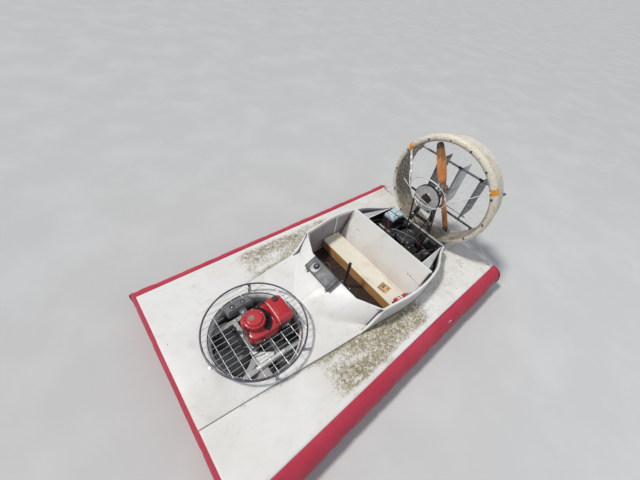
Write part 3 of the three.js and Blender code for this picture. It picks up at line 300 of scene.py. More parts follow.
# ---------------------------------------------------------------- mesh tools
class Piece:
    """One Blender piece, gathered from many modelled parts."""
    def __init__(self, name):
        self.name, self.bm, self.mats = name, bmesh.new(), []
    def mi(self, mat):
        m = M[mat]
        if m not in self.mats: self.mats.append(m)
        return self.mats.index(m)
    def faces(self, rings, mat, closed_u=False, closed_v=True, caps=False):
        """Quads between rings of equal length; a ring of one vertex is a pole."""
        k = self.mi(mat); out = []
        span = list(zip(rings, rings[1:])) + ([(rings[-1], rings[0])] if closed_u else [])
        for a, b in span:
            n = max(len(a), len(b))
            for j in range(n if closed_v else n - 1):
                j2 = (j + 1) % n
                if len(a) == 1: f = (a[0], b[j2], b[j])
                elif len(b) == 1: f = (a[j], a[j2], b[0])
                else: f = (a[j], a[j2], b[j2], b[j])
                if len(set(f)) < 3: continue
                try: q = self.bm.faces.new(f)
                except ValueError: continue
                q.material_index = k; q.smooth = True; out.append(q)
        if caps and not closed_u:
            for ring in (rings[0], rings[-1]):
                if len(ring) > 2:
                    try: q = self.bm.faces.new(ring)
                    except ValueError: continue
                    q.material_index = k; q.smooth = True
        return out
    def take(self, bm2, mat, M4=None):
        if M4 is not None: bm2.transform(M4)
        k = self.mi(mat); bm2.verts.ensure_lookup_table()
        new = [self.bm.verts.new(v.co) for v in bm2.verts]
        for i, v in enumerate(bm2.verts): v.index = i
        for f in bm2.faces:
            try: q = self.bm.faces.new([new[v.index] for v in f.verts])
            except ValueError: continue
            q.material_index = k; q.smooth = True
        bm2.free()
    def box(self, x0, x1, s0, s1, z0, z1, mat, r=0.002, seg=2):
        c = P((x0 + x1) / 2, (s0 + s1) / 2, (z0 + z1) / 2)
        self.obox(c, (1, 0, 0), (0, 1, 0), (abs(x1 - x0), abs(s1 - s0), abs(z1 - z0)), mat, r, seg)
    def obox(self, c, ax, ay, size, mat, r=0.002, seg=2):
        b = bmesh.new(); bmesh.ops.create_cube(b, size=1.0)
        bmesh.ops.scale(b, vec=Vector(size), verts=b.verts)
        if r > 0:
            r = min(r, min(size) * 0.42)
            bmesh.ops.bevel(b, geom=b.edges[:], offset=r, offset_type="OFFSET", segments=seg, profile=0.5, affect="EDGES", clamp_overlap=True)
        x = Vector(ax).normalized(); y = Vector(ay); y = (y - x * y.dot(x)).normalized(); z = x.cross(y)
        R = Matrix((x, y, z)).transposed().to_4x4(); R.translation = Vector(c)
        self.take(b, mat, R)
    def bar(self, a, b, w, h, mat, up=(0, 0, 1), r=0.0015, ext=0.0):
        a, b = Vector(a), Vector(b); d = (b - a)
        y = d.normalized(); x = y.cross(Vector(up)).normalized()
        self.obox((a + b) / 2, x, y, (w, d.length + 2 * ext, h), mat, r)
    def tube(self, pts, r, mat, n=10, closed=False, radii=None, caps=True, squash=None):
        pts = [Vector(p) for p in pts]; m = len(pts); tang = []
        for i in range(m):
            a = pts[(i - 1) % m] if (closed or i > 0) else pts[i]; b = pts[(i + 1) % m] if (closed or i < m - 1) else pts[i]
            tang.append((b - a).normalized())
        up = Vector((0, 0, 1)) if abs(tang[0].z) < 0.9 else Vector((0, 1, 0))
        x = tang[0].cross(up).normalized(); rings = []
        for i, t in enumerate(tang):
            x = (x - t * x.dot(t)).normalized(); y = t.cross(x); q = radii[i] if radii else r
            e = squash or (1, 1)
            rings.append([self.bm.verts.new(pts[i] + (x * math.cos(2 * math.pi * j / n) * e[0] + y * math.sin(2 * math.pi * j / n) * e[1]) * q) for j in range(n)])
        self.faces(rings, mat, closed_u=closed, caps=caps)
    def sweep(self, pts, section, mat, up=(0, 0, 1), closed=False, ups=None):
        """Closed section [(across, up), ...] carried along the points."""
        pts = [Vector(p) for p in pts]; m = len(pts); rings = []
        for i in range(m):
            a = pts[(i - 1) % m] if (closed or i > 0) else pts[i]; b = pts[(i + 1) % m] if (closed or i < m - 1) else pts[i]
            t = (b - a).normalized(); u = Vector(ups[i]) if ups else Vector(up)
            x = t.cross(u).normalized(); y = x.cross(t)
            rings.append([self.bm.verts.new(pts[i] + x * p + y * q) for p, q in section])
        self.faces(rings, mat, closed_u=closed, caps=True)
    def lathe(self, prof, origin, axis, mat, n=32, closed=False, ref=None, squash=(1, 1)):
        o, a = Vector(origin), Vector(axis).normalized()
        u = Vector(ref) if ref else (Vector((1, 0, 0)) if abs(a.x) < 0.8 else Vector((0, 1, 0)))
        u = (u - a * u.dot(a)).normalized(); v = a.cross(u); rings = []
        for r, h in prof:
            if r < 1e-6: rings.append([self.bm.verts.new(o + a * h)]); continue
            rings.append([self.bm.verts.new(o + a * h + (u * math.cos(2 * math.pi * j / n) * squash[0] + v * math.sin(2 * math.pi * j / n) * squash[1]) * r) for j in range(n)])
        return self.faces(rings, mat, closed_u=closed)
    def drum(self, a, b, r, mat, n=24, edge=0.002, r2=None):
        a, b = Vector(a), Vector(b); h = (b - a).length; q = r if r2 is None else r2; e = min(edge, r * 0.4, q * 0.4, h * 0.4)
        k = 0.2929 * e
        self.lathe([(0, 0), (r - e, 0), (r - k, k), (r, e), (q, h - e), (q - k, h - k), (q - e, h), (0, h)], a, b - a, mat, n)
    def bolt(self, p, nrm, r=0.006, mat="bolt", washer=True, h=None):
        p, nrm = Vector(p), Vector(nrm).normalized(); h = h or r * 0.9
        if washer: self.lathe([(0, -0.001), (r * 1.75, -0.001), (r * 1.75, r * 0.22), (r * 1.6, r * 0.3), (0, r * 0.3)], p, nrm, mat, 16)
        z = r * 0.3 if washer else 0.0
        self.lathe([(0, z - 0.001), (r, z - 0.001), (r, z + h * 0.85), (r * 0.86, z + h), (0, z + h)], p, nrm, mat, 6)
    def screw(self, p, nrm, r=0.0045, mat="steel"):
        p, nrm = Vector(p), Vector(nrm).normalized()
        self.lathe([(0, -0.001), (r, -0.001), (r * 0.95, r * 0.25), (r * 0.6, r * 0.5), (r * 0.25, r * 0.55), (r * 0.2, r * 0.25), (0, r * 0.25)], p, nrm, mat, 12)
    def slab(self, outline, z0, z1, mat, r=0.003, holes=(), side=None):
        """Upright plate from plan outlines [(x, s)], its top edges rounded."""
        def orient(pts, ccw):
            area = sum(a[0] * b[1] - b[0] * a[1] for a, b in zip(pts, pts[1:] + pts[:1]))
            return pts if (area > 0) == ccw else pts[::-1]
        loops = [orient(list(outline), True)] + [orient(list(h), False) for h in holes]
        tops, k = [], self.mi(mat)
        for pts in loops:
            n = len(pts); nor = []
            for i in range(n):
                a, b, c = Vector(pts[i - 1]), Vector(pts[i]), Vector(pts[(i + 1) % n])
                e1, e2 = (b - a).normalized(), (c - b).normalized()
                w = Vector((-e1.y, e1.x)) + Vector((-e2.y, e2.x)); w = w.normalized() / max(0.5, w.length / 2)
                nor.append(w)                                  # points inwards, into the material
            rows = [(0, z0), (0, z1 - r), (r * 0.3, z1 - r * 0.3), (r, z1)]
            rings = [[self.bm.verts.new(P(p[0] + w.x * o, p[1] + w.y * o, z)) for p, w in zip(pts, nor)] for o, z in rows]
            self.faces(rings, side or mat); tops.append((rings[-1], rings[0]))
        for pick in (0, 1):
            loop = [t[pick] for t in tops]; flat = [v for ring in loop for v in ring]
            for tri in tessellate_polygon([[Vector((v.co.x, v.co.y, 0)) for v in ring] for ring in loop]):
                try: q = self.bm.faces.new([flat[i] for i in tri])
                except ValueError: continue
                q.material_index = k; q.smooth = True
    def panel(self, quad, t, mat, nx=1, ny=1, r=0.002, bulge=0.0):
        """Thick sheet over four corners, given in order round it."""
        a, b, c, d = [Vector(q) for q in quad]
        nrm = ((b - a).cross(d - a)).normalized()
        def at(u, v, w): return lerp(lerp(a, b, u), lerp(d, c, u), v) + nrm * w
        us = [0, *[(i + 1) / (nx + 1) for i in range(nx)], 1]; vs = [0, *[(i + 1) / (ny + 1) for i in range(ny)], 1]
        L, H = (b - a).length, (d - a).length
        us = sorted({0, r / L, 1 - r / L, 1, *us}); vs = sorted({0, r / H, 1 - r / H, 1, *vs})
        grids = []
        for side in (0, 1):
            g = []
            for v in vs:
                row = []
                for u in us:
                    rim = u in (0, 1) or v in (0, 1)
                    w = (t - (r if rim else 0)) if side else (r if rim else 0)
                    w += bulge * math.sin(math.pi * u) * math.sin(math.pi * v)
                    row.append(self.bm.verts.new(at(u, v, w)))
                g.append(row)
            grids.append(g)
        for g in grids: self.faces(g, mat, closed_v=False)
        def rim(g): return g[0][:-1] + [row[-1] for row in g[:-1]] + g[-1][:0:-1] + [row[0] for row in g[:0:-1]]
        self.faces([rim(grids[0]), rim(grids[1])], mat)
    def make(self, body="craft", slot=None, replaces=(), angle=32, weld=True):
        bm = self.bm
        bmesh.ops.recalc_face_normals(bm, faces=bm.faces)
        me = bpy.data.meshes.new(self.name); bm.to_mesh(me); bm.free()
        for m in self.mats: me.materials.append(m)
        me.set_sharp_from_angle(angle=math.radians(angle))
        ob = bpy.data.objects.new(self.name, me); bpy.context.scene.collection.objects.link(ob)
        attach(ob, body)
        if replaces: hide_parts(*replaces)
        return ob

def ring_pts(c, r, n, axis="z", r2=None, start=0.0, end=2 * math.pi, closed=True):
    out = []
    for i in range(n if closed else n + 1):
        a = start + (end - start) * i / n; u, v = r * math.cos(a), (r2 or r) * math.sin(a)
        out.append(Vector(c) + (Vector((u, v, 0)) if axis == "z" else Vector((u, 0, v)) if axis == "y" else Vector((0, u, v))))
    return out
def catmull(pts, n=8):
    pts = [Vector(p) for p in pts]; out = []
    for i in range(len(pts) - 1):
        p0, p1, p2, p3 = pts[max(i - 1, 0)], pts[i], pts[i + 1], pts[min(i + 2, len(pts) - 1)]
        for k in range(n):
            t = k / n
            out.append(0.5 * ((2 * p1) + (p2 - p0) * t + (2 * p0 - 5 * p1 + 4 * p2 - p3) * t * t + (3 * p1 - p0 - 3 * p2 + p3) * t ** 3))
    return out + [pts[-1]]
def finer(node, mat, r=0.003, seg=2, body="craft", slot=None, angle=30, name=None, mats=None):
    """A CAD node's own solid with its edges rounded."""
    src = bpy.data.objects[node]; b = bmesh.new(); b.from_mesh(src.data)
    bmesh.ops.remove_doubles(b, verts=b.verts, dist=1e-5)
    bmesh.ops.dissolve_limit(b, angle_limit=math.radians(1.0), verts=b.verts, edges=b.edges)
    edges = [e for e in b.edges if len(e.link_faces) == 2 and e.calc_face_angle(0) > math.radians(angle)]
    bmesh.ops.bevel(b, geom=edges, offset=r, offset_type="OFFSET", segments=seg, profile=0.5, affect="EDGES", clamp_overlap=True)
    p = Piece(name or "fine_" + node); p.take(b, mat)
    return p.make(body, slot, (node,))

# ---------------------------------------------------------------- curves of the hull
def through(points, n=10):
    c = catmull([(s, h, 0) for s, h in points], n)
    def f(s):
        for a, b in zip(c, c[1:]):
            if s <= b.x: return lerp(a.y, b.y, max(0.0, (s - a.x) / max(1e-9, b.x - a.x)))
        return c[-1].y
    return f
inner = through([(0, .400), (.600, .462), (1.150, .528), (1.690, .580), (2.140, .628), (2.560, .575), (2.940, .410), (3.420, .410)])
def inside(s): return .410 if s > 2.94 else inner(s)
def outer(s):
    T = [(0, .950), (1.150, .930), (2.300, .905), (3.420, .890)]
    for (a, p), (b, q) in zip(T, T[1:]):
        if s <= b: return lerp(p, q, (s - a) / (b - a))
    return .890
def rim_height(s):
    T = [(1.42, .0), (1.48, .018), (1.56, .075), (1.64, .175), (1.692, .250), (2.140, .245), (2.560, .220), (2.940, .185)]
    if s <= T[0][0]: return 0.0
    for (a, p), (b, q) in zip(T, T[1:]):
        if s <= b: return lerp(p, q, (s - a) / (b - a))
    return .185
def blob(x, s, cx, cs, rx, rs): return math.exp(-((x - cx) / rx) ** 2 - ((s - cs) / rs) ** 2)
def litter(x, s, k):
    """How dirty a spot of the side deck is, 0 to 1; x counts outwards."""
    n = noise.noise(Vector((x * 7, s * 5, 3 + k))) * .5 + .5
    n2 = noise.noise(Vector((x * 19, s * 15, 9 + k))) * .5 + .5
    from_seam, from_edge = x - inside(s), outer(s) - x
    run = smooth((s - .92) / .22) * (1 - smooth((s - 2.06) / .22))
    d = run * (0.60 + 1.10 * (n - .38)) + 0.9 * blob(x, s, .80, 1.34, .075, .20) + 0.75 * blob(x, s, .66, 1.72, .09, .20)
    d += 0.8 * math.exp(-from_seam / .035) * smooth((s - .80) / .3) * (1 - smooth((s - 1.95) / .4)) + 0.35 * run * (n2 - .4)
    d += 0.45 * blob(x, s, .70, 2.10, .06, .14) + 0.7 * blob(x, s, .80, 1.14, .09, .15)
    d -= 0.75 * blob(x, s, .726, 1.96, .05, .06) + 0.7 * blob(x, s, .70, 1.33, .06, .10) + 0.8 * blob(x, s, .60, 1.13, .03, .09) + .4 * blob(x, s, .63, 1.55, .05, .10)
    d *= smooth((from_edge - .035) / .05) * (1.0 if k > 0 else 0.72)
    d += 0.34 * smooth((s - 2.1) / .3) * n + .22 * blob(x, s, .63, 2.62, .09, .30) + .30 * run * smooth((n - .55) / .2)
    return max(0.0, min(1.0, d))

# ---------------------------------------------------------------- decks
def side_deck(name, k):
    p = Piece("fine_" + name); dirt = p.bm.verts.layers.float.new("dirt"); seam = p.bm.verts.layers.float.new("seam")
    step = .015; S = [0, .0035, .012] + [i * step for i in range(1, int(3.40 / step) + 1)] + [3.408, 3.4165, 3.42]
    rings = []
    for s in sorted(set(round(v, 5) for v in S)):
        a, b = inside(s), outer(s); n = 30
        cols = [(a, -.008), (a + .002, -.002), (a + .007, 0)] + [(lerp(a + .007, b - .012, t / n), 0) for t in range(1, n)] + [(b - .012, 0), (b - .0035, -.0035), (b, -.012)]
        end = -.012 if s in (0, 3.42) else -.0035 if s in (.0035, 3.4165) else 0
        ring = []
        for x, dz in cols:
            w = noise.noise(Vector((x * 3, s * 3, k))) * .0009 if dz == 0 and end == 0 else 0
            v = p.bm.verts.new(P(k * x, s, DK + min(dz, end) + w)); ring.append(v)
            v[dirt] = litter(x, s, k); v[seam] = math.exp(-(x - a) / .012) * smooth((s - .30) / .35) * (0.4 + 0.6 * (1 - smooth((s - 1.8) / .3))) if s < 2.9 else 0
        ring += [p.bm.verts.new(P(k * b, s, .130)), p.bm.verts.new(P(k * a, s, .130))]
        rings.append(ring)
    p.faces(rings, "deck_littered", caps=True)
    return p.make("craft", "deck_white", (name,), angle=50)
side_deck("side_deck_port", 1); side_deck("side_deck_starboard", -1)

NOSE = [(.528, 1.560), (.380, 1.418), (.230, 1.298), (.120, 1.208), (.040, 1.166), (0, 1.160)]
def nose_line(n=6):
    half = [(q.x, q.y) for q in catmull([(x, s, 0) for x, s in NOSE], n)]
    return half + [(-x, s) for x, s in half[:-1]][::-1]
def foredeck():
    p = Piece("fine_foredeck"); g = .0006
    left = [(inner(s) - g, s) for s in [0, .1, .2, .3, .4, .5, .6, .7, .8, .9, 1.0, 1.15, 1.3, 1.45, 1.56]]
    outline = left + nose_line() + [(-x, s) for x, s in left][::-1]
    hole = [(q.x, q.y) for q in ring_pts((0, FAN_S, 0), .419, 96)]
    p.slab(outline, .130, CD, "deck", .0035, [hole])
    # small self-tapping screws beside the joint and a filler blot at the nose
    for x, s in ((.512, 1.50), (.498, 1.36), (.47, .86), (-.47, .86), (-.498, 1.36), (.33, .06), (-.33, .06)): p.screw(P(x, s, CD), (0, 0, 1), .005)
    for i in range(26):
        a, r = random.uniform(0, 6.28), random.uniform(.0, .034)
        c = P(.15 + r * math.cos(a) * .8, 1.19 + r * math.sin(a), CD)
        p.lathe([(0, -.001), (random.uniform(.0015, .004), -.0006), (0, random.uniform(.0006, .0018))], c, (0, 0, 1), random.choice(["umber", "straw", "green"]), 7)
    return p.make("craft", "deck_white", ("foredeck",), angle=50)
foredeck()
def stern_deck():
    p = Piece("fine_stern_deck")
    p.slab([(.4094, 2.9625), (.4094, 3.4195), (-.4094, 3.4195), (-.4094, 2.9625)], .130, DK, "deck", .006)
    for x in (-.36, -.12, .12, .36): p.screw(P(x, 3.40, DK), (0, 0, 1), .0055)
    for k in (1, -1): p.bar(P(k * .385, 2.972, DK + .0035), P(k * .385, 3.12, DK + .0035), .020, .006, "alu")
    return p.make("craft", "deck_white", ("stern_deck",), angle=50)
stern_deck()
finer("hull_bottom", "hull", .006, 3, slot="hull")
for side in ("port", "centre", "starboard"):
    x = {"port": .62, "centre": 0, "starboard": -.62}[side]; p = Piece("fine_skid_" + side)
    prof = [(1.220, .0015), (3.200, .0015), (3.258, .0215), (3.260, .039), (3.258, .0399), (1.142, .0399), (1.140, .038), (1.141, .026)]
    rings = []
    for dx, inset in ((-.032, .003), (-.0295, 0), (.0295, 0), (.032, .003)):
        rings.append([p.bm.verts.new(P(x + dx, s + (inset if s < 2 else -inset), z + (inset if z < .03 else 0))) for s, z in prof])
    p.faces(rings, "timber", caps=True)
    for s in (1.30, 1.75, 2.20, 2.65, 3.10): p.screw(P(x, s, .0052), (0, 0, -1), .006)
    p.make("craft", "wood", ("skid_" + side,))

# ---------------------------------------------------------------- cowl and console
COWL = [(.560, 1.600, .574, 1.688, .248), (.505, 1.545, .540, 1.668, .246), (.360, 1.404, .420, 1.616, .232),
        (.225, 1.296, .335, 1.577, .222), (.100, 1.198, .160, 1.575, .222), (0, 1.162, 0, 1.575, .222)]
def cowl_rows(n=6):
    foot = catmull([(r[0], r[1], 0) for r in COWL], n); edge = []
    for i in range(len(COWL) - 1):                       # the edge keeps its corners, only its height is eased
        for k in range(n):
            t = k / n; a, b = COWL[i], COWL[i + 1]
            edge.append(Vector((lerp(a[2], b[2], t), lerp(a[3], b[3], t), lerp(a[4], b[4], smooth(t) if i in (1, 2) else t))))
    edge.append(Vector(COWL[-1][2:])); rows = [(f, e) for f, e in zip(foot, edge)]
    return rows + [(Vector((-f.x, f.y, 0)), Vector((-e.x, e.y, e.z))) for f, e in rows[:-1]][::-1]
def cowl():
    p = Piece("fine_cowl"); rows = cowl_rows(8); foot0 = CD + .0005; outline = []
    F = [P(f.x, f.y, foot0 + .005) for f, e in rows]; E = [P(e.x, e.y, DK + e.z) for f, e in rows]
    for i in range(len(rows)):
        a, b = max(i - 1, 0), min(i + 1, len(rows) - 1)
        along = ((F[b] - F[a]) + (E[b] - E[a])).normalized(); rise = (E[i] - F[i]).normalized()
        nrm = along.cross(rise).normalized(); nrm = nrm if nrm.z > 0 else -nrm
        fwd = Vector((rise.x, rise.y, 0)).normalized()
        ring = [F[i] - fwd * .020 - Vector((0, 0, .005)), F[i] - fwd * .020 - Vector((0, 0, .0015)), F[i] - fwd * .017, F[i] - fwd * .006 + Vector((0, 0, .0006)), F[i] + rise * .006 + nrm * .0022]
        for t in (.08, .2, .35, .5, .65, .8, .93): ring.append(lerp(F[i], E[i], t) + nrm * (.004 * math.sin(math.pi * t)))
        T = .013
        ring += [E[i] - rise * .006, E[i] - rise * .002 - nrm * .0015, E[i] - nrm * .005 , E[i] - rise * .0015 - nrm * (T - .002), E[i] - rise * .006 - nrm * T]
        for t in (.8, .5, .2): ring.append(lerp(F[i], E[i], t) - nrm * T)
        ring.append(F[i] + fwd * .008 - Vector((0, 0, .005)))
        outline.append([p.bm.verts.new(q) for q in ring])
    p.faces(outline, "deck", caps=True)
    # two small pan screws at each end of the dash
    for k in (1, -1):
        for x, s, z in ((.545, 1.655, .226), (.532, 1.648, .224)): p.screw(P(k * x, s, DK + z + .006), (0, -.5, 1), .004, "bolt")
    return p.make("craft", "deck_white", ("cowl",), angle=50)
cowl()
SLOPE = math.atan2(DK + .222 - (CD + .0003), 1.575 - 1.162)
def on_cowl(x, s, lift):
    """A point above the middle plane of the cowl; lift is upright."""
    return P(x, s, CD + .0003 + (s - 1.162) * math.tan(SLOPE) + lift)
CY, CZ = Vector((0, math.cos(SLOPE), math.sin(SLOPE))), Vector((0, -math.sin(SLOPE), math.cos(SLOPE)))
def console():
    c = on_cowl(-.070, 1.490, .040); X = Vector((1, 0, 0))
    def q(x, y, z): return c + X * x + CY * y + CZ * z
    p = Piece("fine_console")
    p.obox(q(0, 0, -.003), X, CY, (.368, .149, .054), "console", .014, 4)
    p.obox(q(-.012, -.004, .0262), X, CY, (.300, .118, .009), "console", .004, 3)            # raised top plate
    p.obox(q(.152, 0, .0262), X, CY, (.052, .143, .0085), "console_dark", .004, 3)            # end cap to port
    p.obox(q(-.166, 0, .0252), X, CY, (.028, .141, .0075), "console_dark", .0035, 3)
    p.obox(q(0, .0715, .0), X, CY, (.352, .010, .050), "console_dark", .004, 3)               # lip along the aft side
    p.obox(q(-.02, .078, .006), X, CY, (.20, .008, .012), "plastic", .002, 2)
    for x, y in ((-.142, -.050), (-.142, .044), (.112, -.050), (.112, .044)): p.screw(q(x, y, .0306), CZ, .0038, "bolt")
    for x, y in ((.141, -.055), (.141, .055), (.165, -.055), (.165, .055)): p.screw(q(x, y, .0304), CZ, .003, "bolt")
    for k in range(7): p.obox(q(.05 + .009 * k, -.040, .0309), X, CY, (.0035, .022, .0012), "console_dark", .0004, 1)
    for x in (-.15, .15):                                                                      # rubber feet and brackets
        for y in (-.055, .055): p.drum(q(x, y, -.036), q(x, y, -.028), .012, "rubber", 14)
        p.obox(q(x, -.078, -.020), X, CY, (.026, .008, .024), "bolt", .001, 2); p.obox(q(x, -.087, -.032), X, CY, (.026, .022, .003), "bolt", .001, 2)
        p.bolt(q(x, -.091, -.0305), CZ, .004, "steel")
    # dial face with its bezel, pointer frame and divisions
    d = q(-.080, -.012, .0300)
    p.lathe([(.047, 0), (.047, .004), (.0455, .0055), (.041, .0055), (.040, .0035), (0, .0035)], d, CZ, "palegrey", 40)
    for i in range(24):
        a = 2 * math.pi * i / 24; u = X * math.cos(a) + CY * math.sin(a)
        p.obox(d + u * .0375 + CZ * .0036, u, CZ.cross(u), (.006, .0012, .0008), "plastic", .0002, 1)
    for a, b in (((-.055, -.055), (.055, -.055)), ((.055, -.055), (.055, .055)), ((.055, .055), (-.055, .055)), ((-.055, .055), (-.055, -.055))):
        p.bar(d + X * a[0] + CY * a[1] + CZ * .001, d + X * b[0] + CY * b[1] + CZ * .001, .004, .0035, "plastic", CZ, .001, .002)
    p.make("craft", "console_grey", ("console",))
    k = Piece("fine_console_knob"); o = on_cowl(-.150, 1.478, .090) - CZ * .0125
    prof = [(0, 0), (.0300, 0), (.0315, .003), (.0300, .006), (.0262, .008), (.0245, .019), (.0225, .0228), (.017, .0245), (0, .0245)]
    k.lathe(prof, o, CZ, "plastic", 40)
    for i in range(18):
        a = 2 * math.pi * i / 18; u = X * math.cos(a) + CY * math.sin(a)
        k.bar(o + u * .0262 + CZ * .008, o + u * .0243 + CZ * .020, .003, .002, "plastic", u, .0006)
    k.bar(o + CZ * .0248 + (X + CY).normalized() * .004, o + CZ * .0248 + (X + CY).normalized() * .020, .003, .0016, "white", CZ, .0005)
    k.make("craft", "engine_black", ("console_knob",))
console()

# ---------------------------------------------------------------- cockpit
def coaming(side, k):
    p = Piece("fine_coaming_" + side); rings, w = [], .016
    S = [1.692 + i * .026 for i in range(49)]; S = [s for s in S if s < 2.935] + [2.940]
    for s in S:
        o, top = inner(s) - .0004, DK + rim_height(s); i_ = o - w; r = .0135
        ring = [(o, FLOOR + .0006), (o, DK - .004), (o + .001, DK + .004), (o + .001, top - .034), (o + .004, top - .026), (o + .0085, top - .018)]
        c = (o - .004, top - r)
        ring += [(c[0] + r * 1.05 * math.cos(math.radians(a)), c[1] + r * math.sin(math.radians(a))) for a in (10, 35, 60, 90, 120, 145, 170, 200)]
        ring += [(i_ - .0015, top - .030), (i_, top - .040)]
        rings.append(([p.bm.verts.new(P(k * x, s, z)) for x, z in ring], [p.bm.verts.new(P(k * i_, s, z)) for z in (top - .06, .30, .22, FLOOR + .0006)]))
    rims = [a for a, b in rings]; lows = [[a[-1]] + b for a, b in rings]; feet = [[b[-1], a[0]] for a, b in rings]
    p.faces(rims, "deck", closed_v=False); p.faces(lows, "inner", closed_v=False); p.faces(feet, "inner", closed_v=False)
    for a, b in (rings[0], rings[-1]):
        q = p.bm.faces.new(a + b); q.material_index = p.mi("deck"); q.smooth = True
    # battens on the inner face, white corner frames aft, fixings along the rim
    def face(s, dz=0.0, off=0.0): return P(k * (inner(s) - .0004 - w - off), s, dz)
    def upright(s, wide, mat, z0=FLOOR + .004, z1=None, t=.010):
        d = (face(s + .01) - face(s - .01)).normalized(); z1 = z1 or DK + rim_height(s) - .028
        p.obox((face(s, z0, t / 2) + face(s, z1, t / 2)) / 2, d, (0, 0, 1), (wide, z1 - z0, t), mat, .002, 2)
    upright(2.190 if k > 0 else 2.165, .022, "deck", SEAT_Z + .020, None, .012)
    upright(1.712, .024, "deck", FLOOR + .004, None, .010); upright(2.475, .020, "deck"); upright(2.905, .022, "deck")
    for z in (DK - .010,):
        pts = [face(s, z, .004) for s in [1.73 + .04 * i for i in range(29)]]
        p.sweep(pts, [(-.004, -.007), (.004, -.007), (.004, .007), (-.004, .007)], "inner", (0, 0, 1))
    for i in range(15):
        s = 1.76 + i * .08; u = (face(s) - P(0, s, 0)).normalized()
        p.screw(P(k * (inner(s) + .0006), s, DK + .020), (k, 0, 0), .0035, "steel")
    p.make("craft", "deck_white", ("coaming_" + side,), angle=50)
    # the rim runs on before the dash and falls to the deck beside the cowl
    q = Piece("rim_fin_" + side); rings = []
    for i in range(25):
        s = 1.455 + (1.6915 - 1.455) * i / 24; o = inner(s) - .0004; h = .004 + (rim_height(s) - .004) * 1.0
        h = max(.006, h); r = min(.0135, h * .45); top = DK + .0006 + max(h, .0); wide = lerp(.010, .0165, smooth(i / 10))
        c = (o - .004, top - r)
        ring = [(o + .001, DK + .0008), (o + .001, max(DK + .0012, top - r * 1.8))] + [(c[0] + (wide * .8) * math.cos(math.radians(a)), c[1] + r * math.sin(math.radians(a))) for a in (5, 35, 65, 90, 120, 150, 178)]
        ring += [(o - wide - .001, max(DK + .0012, top - r * 1.8)), (o - wide, DK + .0008)]
        rings.append([q.bm.verts.new(P(k * x, s, z)) for x, z in ring])
    q.faces(rings, "deck", caps=True)
    # painted shade: a thin bluish-grey sheet on the cowl beside the dash corner and a strip along the fin's inner foot
    # stand for the fin's shaded inner face
    F0, F1, E0, E1 = P(k * .5585, 1.600, CD + .0030), P(k * .5280, 1.5665, CD + .0030), P(k * .5735, 1.6865, DK + .2475), P(k * .5480, 1.6715, DK + .2468)
    lift = (E0 - F0).cross(F1 - F0).normalized(); lift = (lift if lift.z > 0 else -lift) * .0048
    q.panel((F0 + lift, E0 + lift, E1 + lift, F1 + lift), .0010, "slate", 1, 6, .0004)
    strip = [P(k * (inner(s) - lerp(.0128, .0192, smooth((s - 1.455) / .06)) - .0012), s, DK + .0016 + .42 * max(.004, rim_height(s))) for s in [1.500 + .010 * i for i in range(11)]]
    q.sweep(strip, [(-.0010, -.008), (.0010, -.008), (.0010, .008), (-.0010, .008)], "slate")
    q.make("craft", angle=50)
coaming("port", 1); coaming("starboard", -1)

def cockpit_floor():
    src = bpy.data.objects["cockpit_floor"]; p = Piece("fine_cockpit_floor")
    right = [(.500, 1.575), (.560, 1.690), (.585, 1.90), (.606, 2.140), (.585, 2.33), (.560, 2.520), (.392, 2.938)]
    bow = [(-.380, 1.440), (-.230, 1.320), (-.100, 1.220), (0, 1.190), (.100, 1.220), (.230, 1.320), (.380, 1.440)]
    p.slab(right + [(-x, s) for x, s in right][::-1] + bow, .1302, FLOOR, "floor", .0015)
    # plank joints as low battens, the screw rows and the drain ring
    for x in (-.33, -.11, .11, .33):
        p.bar(P(x, 1.62, FLOOR + .0004), P(x, 1.985, FLOOR + .0004), .004, .0016, "black", r=.0004)
    for s in (1.66, 1.80, 1.95):
        for x in [-.50 + .1 * i for i in range(11)]:
            if abs(x) > .08: p.screw(P(x, s, FLOOR), (0, 0, 1), .0038, "umber")
    for r, h in ((.058, .0030), (.040, .0022)):
        p.sweep(ring_pts(P(.46, 1.78, FLOOR + .001), r, 40), [(-.003, -.001), (.003, -.001), (.002, h), (-.002, h)], "copper", closed=True)
    p.obox(P(0, 1.81, FLOOR + .014), (1, 0, 0), (0, 1, 0), (.110, .080, .030), "black", .004, 3)
    p.obox(P(0, 1.81, FLOOR + .0025), (1, 0, 0), (0, 1, 0), (.150, .110, .005), "black", .001, 2)
    for x in (-.062, .062):
        for s in (1.77, 1.85): p.bolt(P(x, s, FLOOR + .005), (0, 0, 1), .006, "steel")
    p.make("craft", "floor_brown", ("cockpit_floor",))
cockpit_floor()

